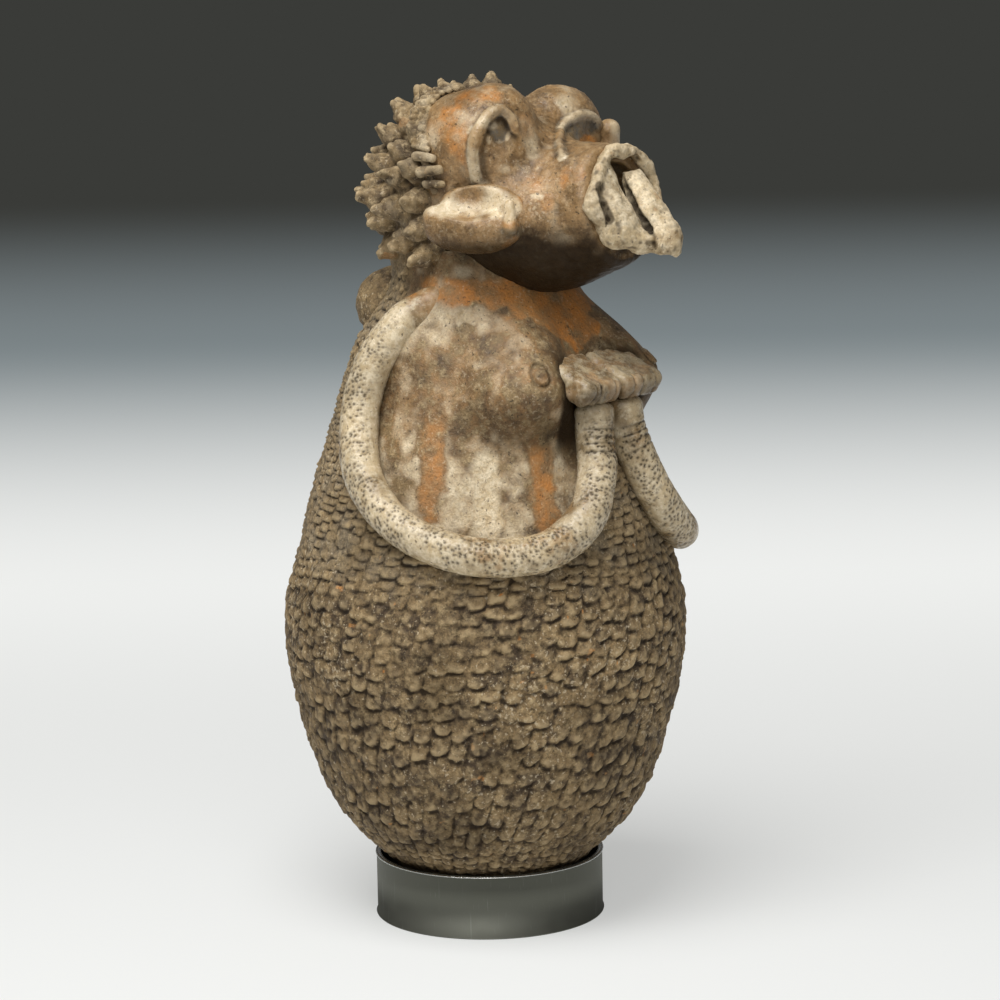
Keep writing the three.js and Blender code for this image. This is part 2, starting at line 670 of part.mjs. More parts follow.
// A hand seen from above, with round finger ends along its outer edge.
function hand() {
  const finger = HAND_WIDTH / FINGERS;
  const knuckle = HAND_LENGTH - finger / 2;
  const outline = new THREE.Shape();
  outline.moveTo(0, 0);
  outline.lineTo(0, knuckle);
  for (let count = 0; count < FINGERS; count += 1) {
    outline.absarc((count + 0.5) * finger, knuckle, finger / 2, Math.PI, 0, true);
  }
  outline.lineTo(HAND_WIDTH, 0);
  const geometry = new THREE.ExtrudeGeometry(outline, {
    depth: HAND_THICKNESS,
    bevelEnabled: false,
    curveSegments: LOCK_SIDES,
  });
  geometry.rotateZ(Math.PI);
  geometry.translate(-HAND_INSET, HAND_LENGTH, -HAND_THICKNESS);
  geometry.rotateX(radians(HAND_DROOP_ANGLE));
  geometry.translate(0, -wallRadius(HAND_HEIGHT) - HAND_OVERHANG, FOOT_Z + HAND_HEIGHT);
  return solidOf(geometry);
}

function handOnBody(sag) {
  return cutBy(hand(), filled, breastGrown, nipple(SLIP_GAP), arm(sag, SLIP_GAP), middlePlane);
}

// Pellets

// One pellet: a wedge that comes out of the wall at its upper edge and is thick at its lower one.
function pellet(angle, height) {
  const half = THREE.MathUtils.radToDeg(PELLET_WIDTH / 2 / wallRadius(height));
  const corners = [];
  for (const [rise, relief] of [
    [PELLET_HEIGHT / 2, -PELLET_SINK],
    [-PELLET_HEIGHT / 2, PELLET_RELIEF],
  ]) {
    const radius = wallRadius(height + rise);
    for (const side of [-half, half]) {
      corners.push(onBody(angle + side, radius - PELLET_ROOT, height + rise));
      corners.push(onBody(angle + side, radius + relief, height + rise));
    }
  }
  return wasm.Manifold.hull(corners.map((corner) => corner.toArray()));
}

// A stage of the wall with rows of pellets between two heights. The chest stays bare, and so does
// what lies under the arms and the knot.
function pelleted(wall, low, high) {
  const rows = Math.floor((high - low) / PELLET_PITCH);
  const columns = Math.round((2 * Math.PI * wallRadius((low + high) / 2)) / PELLET_SPACING);
  const lean = THREE.MathUtils.radToDeg(Math.tan(radians(PELLET_LEAN_ANGLE)) / BELLY_RADIUS);
  const covered = [
    arm(ELBOW_SAG_RIGHT, PELLET_CLEARANCE),
    mirrored(arm(ELBOW_SAG_LEFT, PELLET_CLEARANCE)),
    knot(PELLET_CLEARANCE),
  ];
  const pellets = [];
  for (let row = 0; row < rows; row += 1) {
    const height = low + ((row + 0.5) * (high - low)) / rows;
    for (let column = 0; column < columns; column += 1) {
      const turn = (360 * (column + (row % 2) / 2)) / columns - lean * height;
      const angle = THREE.MathUtils.euclideanModulo(turn + 180, 360) - 180;
      if (height > WAIST_HEIGHT && Math.abs(angle) < CHEST_HALF_ANGLE) continue;
      const wedge = pellet(angle, height);
      if (covered.every((piece) => wedge.intersect(piece).isEmpty())) pellets.push(wedge);
    }
  }
  return geometryOf(wasm.Manifold.union([solidOf(wall), ...pellets]));
}

function pelletedStage(low, high) {
  return pelleted(wallStage(low, high), low, high);
}

// Stand

const STAND_BORE_RADIUS = wallRadius(STAND_HEIGHT - FOOT_Z) + STAND_CLEARANCE;

function standRing() {
  const radius = STAND_BORE_RADIUS + STAND_WALL;
  return turned(
    [
      [STAND_BORE_RADIUS, 0],
      [radius, 0],
      [radius, STAND_HEIGHT],
      [STAND_BORE_RADIUS, STAND_HEIGHT],
    ],
    WALL_SIDES,
  );
}

// The disc is turned to fit inside the facets of the ring's bore.
function standDisc() {
  const radius = STAND_BORE_RADIUS * Math.cos(Math.PI / WALL_SIDES) - STAND_DISC_PLAY;
  const geometry = new THREE.CylinderGeometry(radius, radius, STAND_DISC_THICKNESS, WALL_SIDES);
  geometry.rotateX(Math.PI / 2);
  geometry.translate(0, 0, STAND_DISC_THICKNESS / 2);
  return geometry;
}

function feltPad() {
  const geometry = new THREE.CylinderGeometry(FELT_DIAMETER / 2, FELT_DIAMETER / 2, FELT_THICKNESS, WALL_SIDES);
  geometry.rotateX(Math.PI / 2);
  geometry.translate(0, 0, STAND_DISC_THICKNESS + SLIP_GAP + FELT_THICKNESS / 2);
  return geometry;
}

// Assembly

const stand = new THREE.Group();
const vessel = new THREE.Group();

function addTo(group, name, geometry, material) {
  const mesh = new THREE.Mesh(geometry, material);
  mesh.name = name;
  group.add(mesh);
}

// A piece on the figure's right, and its partner, which is made on the right and mirrored.
function addPair(name, material, right, partner = right) {
  addTo(vessel, `${name}_right`, geometryOf(right), material);
  addTo(vessel, `${name}_left`, geometryOf(mirrored(partner)), material);
}

addTo(stand, "stand_ring", standRing(), MATERIALS.steel);
addTo(stand, "stand_disc", standDisc(), MATERIALS.wood);
addTo(stand, "felt_pad", feltPad(), MATERIALS.felt);

addTo(vessel, "base_bowl", pelleted(baseBowl(), PELLET_FOOT_RISE, BOWL_RIM_HEIGHT), MATERIALS.body);
addTo(vessel, "belly_wall", pelletedStage(BOWL_RIM_HEIGHT + SLIP_GAP, BELLY_RIM_HEIGHT), MATERIALS.body);
addTo(vessel, "torso_wall", pelletedStage(BELLY_RIM_HEIGHT + SLIP_GAP, SHOULDER_HEIGHT), MATERIALS.chest);
addTo(vessel, "neck", geometryOf(neckRing()), MATERIALS.ochre);
addTo(vessel, "cranium", geometryOf(craniumShell()), MATERIALS.ochre);
addTo(vessel, "snout", geometryOf(snoutTube()), MATERIALS.ochre);
addTo(vessel, "jaw", geometryOf(jaw()), MATERIALS.chest);
addTo(vessel, "mouth_rim", geometryOf(mouthRim(0)), MATERIALS.mouth);
addTo(vessel, "hair_cap", geometryOf(hairCap()), MATERIALS.hair);
addTo(vessel, "nape_knot", geometryOf(napeKnot()), MATERIALS.hair);
addPair("tongue", MATERIALS.mouth, tongueRight());
addPair("brow", MATERIALS.ochre, browRight());
addPair("eyelid", MATERIALS.limb, eyelidRight());
addPair("eye", MATERIALS.eye, eyeRight());
addPair("ear", MATERIALS.limb, earOnHead(EAR_RIGHT_ANGLE), earOnHead(EAR_LEFT_ANGLE));
addPair("fringe", MATERIALS.hair, fringe(EAR_RIGHT_ANGLE), fringe(EAR_LEFT_ANGLE));
addPair("breast", MATERIALS.chest, breastRight());
addPair("nipple", MATERIALS.chest, nippleRight());
addPair("arm", MATERIALS.limb, armOnBody(ELBOW_SAG_RIGHT), armOnBody(ELBOW_SAG_LEFT));
addPair("hand", MATERIALS.limb, handOnBody(ELBOW_SAG_RIGHT), handOnBody(ELBOW_SAG_LEFT));

const figureVessel = new THREE.Group();
figureVessel.add(stand, vessel);

export default figureVessel;
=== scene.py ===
"""Clay skins, slips, stand and studio for a hand-built terracotta vessel in the form of a squat figure.

It is laid out as an add-on and run as a script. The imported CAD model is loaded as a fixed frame, and each
operator makes the looks of one piece, or of a group of like pieces, in the place that the frame gives it.
Shapes are worked in millimetres: X to the figure's left, -Y to its front, Z up, as in the frame.
"""

import itertools
import math

import bpy
import numpy as np
from bpy.props import FloatProperty, FloatVectorProperty, IntProperty, PointerProperty
from bpy.types import Operator, Panel, PropertyGroup
from mathutils import Matrix, Vector


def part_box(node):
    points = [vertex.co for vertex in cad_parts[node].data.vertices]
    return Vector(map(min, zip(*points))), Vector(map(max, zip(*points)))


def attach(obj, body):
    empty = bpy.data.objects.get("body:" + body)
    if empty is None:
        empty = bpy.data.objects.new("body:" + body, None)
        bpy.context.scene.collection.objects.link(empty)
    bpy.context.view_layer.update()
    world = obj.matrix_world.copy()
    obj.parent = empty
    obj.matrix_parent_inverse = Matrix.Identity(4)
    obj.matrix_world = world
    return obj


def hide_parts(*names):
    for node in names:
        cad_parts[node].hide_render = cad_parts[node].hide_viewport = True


bl_info = {
    "name": "Figure Vessel",
    "version": (1, 0, 0),
    "blender": (4, 5, 0),
    "location": "3D View > Sidebar > Vessel",
    "description": "Clay skins, slips, ring stand and studio for a hand-built figure vessel",
    "category": "Object",
}

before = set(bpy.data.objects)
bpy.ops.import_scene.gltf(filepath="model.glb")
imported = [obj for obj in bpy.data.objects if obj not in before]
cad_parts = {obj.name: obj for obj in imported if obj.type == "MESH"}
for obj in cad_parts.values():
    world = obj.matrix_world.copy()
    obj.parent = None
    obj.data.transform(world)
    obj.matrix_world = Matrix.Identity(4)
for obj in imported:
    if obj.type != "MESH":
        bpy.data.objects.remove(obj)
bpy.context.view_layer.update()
MM = 0.001  # metres in a millimetre


def linear(code):
    """An sRGB hex colour as linear red, green and blue."""
    parts = [int(code[i : i + 2], 16) / 255 for i in (1, 3, 5)]
    return tuple(v / 12.92 if v <= 0.04045 else ((v + 0.055) / 1.055) ** 2.4 for v in parts)


def node_points(name):
    """A CAD node's vertices, in millimetres."""
    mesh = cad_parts[name].data
    flat = np.zeros(3 * len(mesh.vertices))
    mesh.vertices.foreach_get("co", flat)
    return flat.reshape(-1, 3) / MM


def node_box(name):
    """A CAD node's lowest and highest corners, in millimetres."""
    low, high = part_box(name)
    return np.array(low) / MM, np.array(high) / MM


# Sizes and colours that a user would change


def length(label, words, millimetres):
    """A length property, shown in the scene's units."""
    return FloatProperty(name=label, description=words, default=millimetres * MM, min=0.0, unit="LENGTH")


def in_degrees(label, words, value):
    """An angle property, from its value in degrees."""
    return FloatProperty(name=label, description=words, default=math.radians(value), subtype="ANGLE")


def slip(label, words, code):
    """A colour property, from the hex value that the finish shows in plain light."""
    return FloatVectorProperty(
        name=label, description=words, default=linear(code), min=0.0, max=1.0, size=3, subtype="COLOR"
    )


class VesselSizes(PropertyGroup):
    """Sizes of the clay work"""

    clay_cell: length("Clay cell", "Edge of a mesh face on the modelled pieces", 0.92)
    wall_thickness: length("Wall", "Thickness of the coiled wall", 8)
    pellet_columns: IntProperty(
        name="Pellet columns", description="Columns around the belly", default=62, min=3
    )
    pellet_pitch: length("Pellet pitch", "From one pellet to the next in a column", 8.6)
    pellet_relief: length("Pellet relief", "How far a pellet stands off the wall", 1.45)
    pellet_lean: in_degrees("Pellet lean", "Lean of the columns", 15)
    breast_relief: length("Breast", "How far a breast stands off the wall", 24)
    arm_diameter: length("Arm", "Diameter of the arm's roll at the shoulder", 20.5)
    wrist_diameter: length("Wrist", "Diameter of the arm's roll at the wrist", 21)
    arm_standoff: length("Arm standoff", "From the wall to the arm's centre line", 8)
    lock_length: length("Lock", "Length of a pinched lock of hair", 15.5)
    lock_radius: length("Lock radius", "Radius of a lock at its root", 9.6)
    ring_bevel: length("Ring bevel", "Bevel along the stand's edges", 0.7)


class SlipColours(PropertyGroup):
    """Colours of the clays, slips and stand"""

    smoked_dark: slip("Smoked clay, dark", "Soot in the pellets' hollows", "#4a3b29")
    smoked: slip("Smoked clay", "Coiled wall", "#806a49")
    smoked_light: slip("Smoked clay, worn", "Worn tops of the pellets", "#b09a74")
    ochre_dark: slip("Ochre slip, dark", "Ochre slip where it is thick", "#6a5235")
    ochre: slip("Ochre slip", "Face and collar", "#93744d")
    ochre_light: slip("Ochre slip, thin", "Ochre slip rubbed thin", "#ad936d")
    rust: slip("Rust", "Reddest patches of the ochre slip", "#bd7a35")
    kaolin: slip("Kaolin slip", "Pale slip on limbs and mouth", "#dbcbad")
    limb: slip("Limb clay", "Arms under the pale slip", "#baa581")
    limb_dark: slip("Limb clay, dark", "Arms where the slip is gone", "#7f6a4b")
    hair: slip("Hair clay", "Pinched locks", "#836d4b")
    slate: slip("Slate slip", "Grey gloss of the eyes and the breasts' tops", "#6a675e")
    # Soot, and also the colour of the painted shade in hollows, cracks, grooves and under the jaw
    soot_and_shade: slip("Soot", "Hollows, cracks and the jaw's underside", "#20160b")
    steel: slip("Blackened steel", "Ring of the stand", "#707168")
    steel_edge: slip("Bare steel", "Rubbed upper edge of the ring", "#d9dad6")
    wood: slip("Stained wood", "Disc in the ring", "#2e2721")
    felt: slip("Felt", "Pad under the foot", "#1d1d1c")
    floor: slip("Floor", "Studio paper under the vessel", "#eeefed")
    backdrop: slip("Backdrop", "Studio paper some way behind the vessel", "#818a8d")
    backdrop_far: slip("Backdrop, far", "Studio paper at the back", "#3a3b38")


class StudioSettings(PropertyGroup):
    """Light and camera of the studio"""

    key_power: FloatProperty(name="Key", description="Overhead softbox, watts", default=33.0, min=0.0)
    fill_power: FloatProperty(name="Fill", description="Broad front fill, watts", default=9.0, min=0.0)
    ambient: FloatProperty(
        name="Ambient", description="Strength of the surrounding light", default=0.16, min=0.0
    )
    camera_turn: in_degrees("Camera turn", "Round to the figure's right", 51)
    camera_distance: length("Camera distance", "From the vessel's axis, level", 2000)
    camera_height: length("Camera height", "Above the floor", 573.5)
    camera_pitch: in_degrees("Camera pitch", "Looking down", 9.72)
    camera_roll: in_degrees("Camera roll", "Picture turned, right side up", 1)
    camera_pan: in_degrees("Camera pan", "Aim to the right of the axis", 0.265)
    camera_lens: FloatProperty(name="Lens", description="Focal length on a 36 mm sensor", default=133.2)


def sizes():
    """The vessel's sizes."""
    return bpy.context.scene.vessel_sizes


def colours():
    """The vessel's colours."""
    return bpy.context.scene.vessel_colours


def cell():
    """Edge of a mesh face in millimetres."""
    return sizes().clay_cell / MM * 1.0


# Random grain, the same in every run


def scatter(*whole):
    """Random shares from 0 to 1, fixed by arrays of whole numbers."""
    mixed = np.zeros(np.broadcast(*whole).shape, np.int64)
    for place, number in enumerate(whole):
        mixed = (mixed + np.asarray(number, np.int64) * (374761393 + 668265263 * place)) & 0x7FFFFFFF
        mixed = ((mixed ^ (mixed >> 13)) * 1274126177) & 0x7FFFFFFF
        mixed = mixed ^ (mixed >> 16)
    return (mixed & 0xFFFF) / 65535.0


def cell_corners(part):
    """A grid cell's eight corners, each with its weight for points at shares of the cell's edges."""
    for step in itertools.product((0, 1), repeat=3):
        weight = 1.0
        for axis in range(3):
            weight = weight * (part[..., axis] if step[axis] else 1 - part[..., axis])
        yield np.array(step), weight


def grain(points, size, seed):
    """A smooth random field with grains of about that size in millimetres, from -1 to 1."""
    spot = np.asarray(points, float) / size + 31.7 * seed
    whole = np.floor(spot).astype(np.int64)
    part = spot - whole
    part = part * part * (3 - 2 * part)
    total = 0.0
    for step, weight in cell_corners(part):
        corner = whole + step
        total = total + weight * scatter(corner[..., 0], corner[..., 1], corner[..., 2], seed)
    return 2 * total - 1


def ease(low, high, value):
    """0 below low, 1 above high, smooth between. The ends may be given the other way round."""
    share = np.clip((value - low) / (high - low), 0, 1)
    return share * share * (3 - 2 * share)


def ridge(value, width):
    """1 where the value is 0, falling off to either side over about that width."""
    return np.exp(-((value / width) ** 2))


def through(stations, count):
    """Points along a smooth curve through stations, evenly spaced."""
    stations = np.asarray(stations, float)
    ends = np.vstack([2 * stations[:1] - stations[1:2], stations, 2 * stations[-1:] - stations[-2:-1]])
    pieces = []
    share = np.linspace(0, 1, 40, endpoint=False)[:, None]
    for a, b, c, d in zip(ends[:-3], ends[1:-2], ends[2:-1], ends[3:]):
        bend = 2 * a - 5 * b + 4 * c - d
        twist = 3 * (b - c) + d - a
        pieces.append(b + 0.5 * share * (c - a + share * (bend + share * twist)))
    fine = np.vstack(pieces + [stations[-1:]])
    way = np.concatenate([[0], np.cumsum(np.linalg.norm(np.diff(fine, axis=0), axis=1))])
    even = np.linspace(0, way[-1], count)
    return np.stack([np.interp(even, way, fine[:, axis]) for axis in range(stations.shape[1])], -1)


# Meshes from arrays


def corner_sums(values, faces, count):
    """Adds a value per face to each of its corners."""
    total = np.zeros((count, 3))
    for axis in range(3):
        for place in range(faces.shape[1]):
            total[:, axis] += np.bincount(faces[:, place], values[:, axis], count)
    return total


def normals_of(points, faces):
    """Smooth outward directions at the points of closed faces."""
    total = np.zeros_like(points)
    for group in faces:
        last = group[:, 3] if group.shape[1] == 4 else group[:, 0]
        across = np.cross(points[group[:, 2]] - points[group[:, 0]], points[last] - points[group[:, 1]])
        total += corner_sums(across, group, len(points))
    return total / np.maximum(np.linalg.norm(total, axis=1, keepdims=True), 1e-12)


def neighbour_means(values, faces):
    """The mean of each point's neighbours along the faces' edges."""
    count = len(values)
    total = np.zeros_like(values)
    number = np.zeros(count)
    for group in faces:
        for place in range(group.shape[1]):
            start, end = group[:, place], group[:, (place + 1) % group.shape[1]]
            for one, other in ((start, end), (end, start)):
                number += np.bincount(one, minlength=count)
                for axis in range(values.shape[1]):
                    total[:, axis] += np.bincount(one, values[other, axis], count)
    return total / np.maximum(number, 1)[:, None]


def crests_of(points, faces, full, rounds=2):
    """How far each point stands out, to 1, or lies in a hollow, to -1.

    full is the height that counts as 1, in millimetres. More rounds compare with a wider neighbourhood.
    """
    outward = normals_of(points, faces)
    wide = points
    for _ in range(3 * rounds):
        wide = neighbour_means(wide, faces)
    height = np.sum((points - wide) * outward, axis=1)[:, None]
    height = 0.5 * height + 0.5 * neighbour_means(height, faces)
    return np.clip(height[:, 0] / full, -1, 1)


def outside_out(points, faces):
    """The faces of a closed skin, turned so that they look outwards."""
    volume = 0.0
    for group in faces:
        for place in range(1, group.shape[1] - 1):
            a, b, c = points[group[:, 0]], points[group[:, place]], points[group[:, place + 1]]
            volume += np.sum(a * np.cross(b, c))
    return faces if volume > 0 else [group[:, ::-1] for group in faces]


def mirrored(points, faces):
    """A closed skin of the figure's right side, moved to its left."""
    points = points * np.array([-1, 1, 1])
    return points, outside_out(points, faces)


def make_piece(name, points, faces, materials, body, nodes, marks=None, looks=None):
    """A mesh object that rides on a body and stands for CAD nodes.

    points are in millimetres, faces is a list of arrays of corner numbers, marks are shares per point that
    the materials read, and looks gives each face the number of its material.
    """
    mesh = bpy.data.meshes.new(name)
    corners = np.concatenate([group.ravel() for group in faces]).astype(np.int32)
    counts = np.concatenate([np.full(len(group), group.shape[1], np.int32) for group in faces])
    mesh.vertices.add(len(points))
    mesh.vertices.foreach_set("co", np.ascontiguousarray(points * MM, dtype=np.float32).ravel())
    mesh.loops.add(len(corners))
    mesh.loops.foreach_set("vertex_index", corners)
    mesh.polygons.add(len(counts))
    mesh.polygons.foreach_set("loop_start", np.concatenate([[0], np.cumsum(counts)[:-1]]).astype(np.int32))
    mesh.polygons.foreach_set("use_smooth", np.ones(len(counts), bool))
    mesh.update(calc_edges=True)
    for key, share in (marks or {}).items():
        mesh.attributes.new(key, "FLOAT", "POINT").data.foreach_set("value", share.astype(np.float32))
    for material in materials:
        mesh.materials.append(material)
    if looks is not None:
        mesh.polygons.foreach_set("material_index", looks.astype(np.int32))
    mesh.validate()
    piece = bpy.data.objects.new(name, mesh)
    bpy.context.scene.collection.objects.link(piece)
    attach(piece, body)
    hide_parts(*nodes)
    return piece


# Clay modelled by lumps: a field of distances on a grid, in millimetres


def blend_low(a, b, reach):
    """The lesser of two distances, rounded off where they are within reach of each other."""
    if reach <= 0:
        return np.minimum(a, b)
    share = np.clip(0.5 + 0.5 * (b - a) / reach, 0, 1)
    return b + (a - b) * share - reach * share * (1 - share)


def to_ball(p, centre, radii):
    """Distance to an ellipsoid's skin, nearly true close to it."""
    q = (p - np.float32(centre)) / np.asarray(radii, np.float32)
    k0 = np.sqrt(np.sum(q * q, -1))
    q = q / np.asarray(radii, np.float32)
    k1 = np.sqrt(np.sum(q * q, -1))
    return k0 * (k0 - 1) / np.maximum(k1, 1e-6)


def to_rod(p, start, end, first, last):
    """Distance to a round bar between two points, with a radius at each."""
    a = np.asarray(start, np.float32)
    way = np.asarray(end, np.float32) - a
    share = np.clip(((p - a) @ way) / max(float(way @ way), 1e-9), 0, 1)
    gap = p - a - share[..., None] * way
    return np.sqrt(np.sum(gap * gap, -1)) - (first + (last - first) * share)


class ClayField:
    """Distances to a lump of clay on a grid: lumps are joined on and hollows cut away, then it is skinned."""

    def __init__(self, low, high, step):
        self.low = np.asarray(low, float)
        self.step = step
        self.count = np.ceil((np.asarray(high, float) - self.low) / step).astype(int) + 1
        self.value = np.full(self.count, 1e3, np.float32)

    def work(self, low, high, reach, distance, cut=False):
        """Joins on, or cuts away, what a distance function gives inside a box."""
        room = reach + 4 * self.step
        first = np.floor((np.asarray(low, float) - room - self.low) / self.step).astype(int)
        last = np.ceil((np.asarray(high, float) + room - self.low) / self.step).astype(int) + 1
        first, last = np.clip(first, 0, self.count - 1), np.clip(last, 1, self.count)
        part = tuple(slice(a, b) for a, b in zip(first, last))
        axes = [self.low[k] + self.step * np.arange(first[k], last[k]) for k in range(3)]
        p = np.stack(np.meshgrid(*axes, indexing="ij"), -1).astype(np.float32)
        old = self.value[part]
        if cut:
            self.value[part] = -blend_low(-old, distance(p), reach)
        else:
            self.value[part] = blend_low(old, distance(p), reach)

    def ball(self, centre, radii, reach=0.0, cut=False, turn=None):
        """Joins on or cuts away an ellipsoid, whose axes may be given as the columns of turn."""
        centre, radii = np.asarray(centre, float), np.asarray(radii, float) * np.ones(3)
        axes = np.eye(3) if turn is None else np.asarray(turn, float)
        half = np.abs(axes) @ radii
        middle, axes = centre.astype(np.float32), axes.astype(np.float32)
        self.work(centre - half, centre + half, reach, lambda p: to_ball((p - middle) @ axes, 0, radii), cut)

    def rod(self, start, end, first, last, reach=0.0, cut=False):
        """Joins on or cuts away a round bar."""
        ends = np.array([start, end], float)
        most = max(first, last)
        self.work(
            ends.min(0) - most, ends.max(0) + most, reach, lambda p: to_rod(p, start, end, first, last), cut
        )

    def roll(self, path, radii, reach=0.0, cut=False):
        """Joins on or cuts away a roll along a path, with a radius at each of its points."""
        path = np.asarray(path, float)
        radii = np.asarray(radii, float) * np.ones(len(path))

        def distance(p):
            bars = zip(path[:-1], path[1:], radii[:-1], radii[1:])
            nearest = None
            for a, b, first, last in bars:
                gap = to_rod(p, a, b, first, last)
                nearest = gap if nearest is None else np.minimum(nearest, gap)
            return nearest

        self.work(path.min(0) - radii.max(), path.max(0) + radii.max(), reach, distance, cut)

    def at(self, points):
        """The field between its grid points."""
        spot = np.clip((points - self.low) / self.step, 0, self.count - 1.001)
        whole = np.floor(spot).astype(int)
        part = spot - whole
        total = 0.0
        for step, weight in cell_corners(part):
            i, j, k = (whole + step).T
            total = total + weight * self.value[i, j, k]
        return total

    def skin(self):
        """A closed skin of quads over the clay: points in millimetres, and a list with its faces."""
        field = self.value
        inside = field < 0
        size = np.array(field.shape)
        full = np.zeros(size - 1, np.int8)
        for step in itertools.product((0, 1), repeat=3):
            part = tuple(slice(a, a + n - 1) for a, n in zip(step, size))
            full += inside[part]
        mixed = (full > 0) & (full < 8)
        cells = np.argwhere(mixed)
        number = np.full(mixed.shape, -1, np.int64)
        number[mixed] = np.arange(len(cells))
        total = np.zeros((len(cells), 3))
        hits = np.zeros(len(cells))
        for start in itertools.product((0, 1), repeat=3):
            for axis in range(3):
                if start[axis]:
                    continue
                a = cells + np.array(start)
                b = a + np.eye(3, dtype=int)[axis]
                one, other = field[tuple(a.T)], field[tuple(b.T)]
                crossed = (one < 0) != (other < 0)
                share = np.where(crossed, one / np.where(crossed, one - other, 1), 0)
                spot = np.array(start) + share[:, None] * np.eye(3)[axis]
                total += spot * crossed[:, None]
                hits += crossed
        points = self.low + self.step * (cells + total / hits[:, None])
        quads = []
        for axis in range(3):
            u, w = np.eye(3, dtype=int)[(axis + 1) % 3], np.eye(3, dtype=int)[(axis + 2) % 3]
            here = tuple(slice(0, n - 1) if k == axis else slice(1, n - 1) for k, n in enumerate(size))
            there = tuple(slice(1, n) if k == axis else slice(1, n - 1) for k, n in enumerate(size))
            turned = inside[here] != inside[there]
            spots = np.argwhere(turned) + u + w
            around = [spots, spots - u, spots - u - w, spots - w]
            quad = np.stack([number[tuple(spot.T)] for spot in around], -1)
            start = inside[tuple(spots.T)]
            quads.append(np.where(start[:, None], quad, quad[:, ::-1]))
        faces = [np.concatenate(quads)]
        for _ in range(2):
            points = 0.5 * points + 0.5 * neighbour_means(points, faces)
            points = self.settled(points)
        return points, faces

    def settled(self, points):
        """Points moved onto the clay's skin."""
        half = 0.5 * self.step
        slope = np.stack(
            [(self.at(points + half * e) - self.at(points - half * e)) / self.step for e in np.eye(3)], -1
        )
        steep = np.maximum(np.sum(slope * slope, -1), 0.05)
        move = np.clip(self.at(points) / steep, -self.step, self.step)
        return points - move[:, None] * slope


def roughened(points, faces, coats):
    """Points moved in and out by random grain: coats are (height, grain size, seed) in millimetres."""
    outward = normals_of(points, faces)
    lift = sum(height * grain(points, size, seed) for height, size, seed in coats)
    return points + outward * lift[:, None]


def facing_axes(out, up):
    """Axes across, outwards and upwards, as columns, for a lump that looks one way."""
    out = np.asarray(out, float) / np.linalg.norm(out)
    up = np.asarray(up, float) - np.dot(up, out) * out
    up /= np.linalg.norm(up)
    return np.stack([np.cross(out, up), out, up], -1)


def near(points, spots):
    """How much of a patch covers each point: spots are (x, forward, z, radius, amount) in millimetres."""
    total = np.zeros(len(points))
    for x, forward, z, radius, amount in spots:
        gap = np.linalg.norm(points - np.array([x, -forward, z]), axis=1)
        total = np.maximum(total, amount * (1 - ease(0.35 * radius, radius, gap)))
    return total


def near_path(points, path):
    """Each point's distance from a path."""
    nearest = np.full(len(points), 1e3)
    for a, b in zip(path[:-1], path[1:]):
        nearest = np.minimum(nearest, to_rod(points, a, b, 0, 0))
    return nearest


# Materials

RGBA = {"data_type": "RGBA"}  # settings of a mix of two colours
TINT = {"data_type": "RGBA", "blend_type": "MULTIPLY"}  # settings of a colour times a tone
USUAL = {"From Min": 0.3, "From Max": 0.7}  # most values of a noise lie between these


def per_mm(size):
    """A texture's scale for a pattern of that size in millimetres, as coordinates are in metres."""
    return 1 / (size * MM)


def node(tree, kind, inputs=None, out=0, **settings):
    """Adds a shader node with its settings, sets or links its inputs, and gives one of its outputs."""
    made = tree.nodes.new("ShaderNode" + kind)
    for key, value in settings.items():
        setattr(made, key, value)
    for key, value in (inputs or {}).items():
        if isinstance(value, bpy.types.NodeSocket):
            tree.links.new(value, made.inputs[key])
        else:
            made.inputs[key].default_value = value
    return made.outputs[out] if made.outputs else made


def new_material(name):
    """An empty node material."""
    material = bpy.data.materials.new(name)
    material.use_nodes = True
    material.node_tree.nodes.clear()
    return material, material.node_tree


def solid(colour):
    """A linear colour as a socket takes it."""
    return (*colour, 1.0)


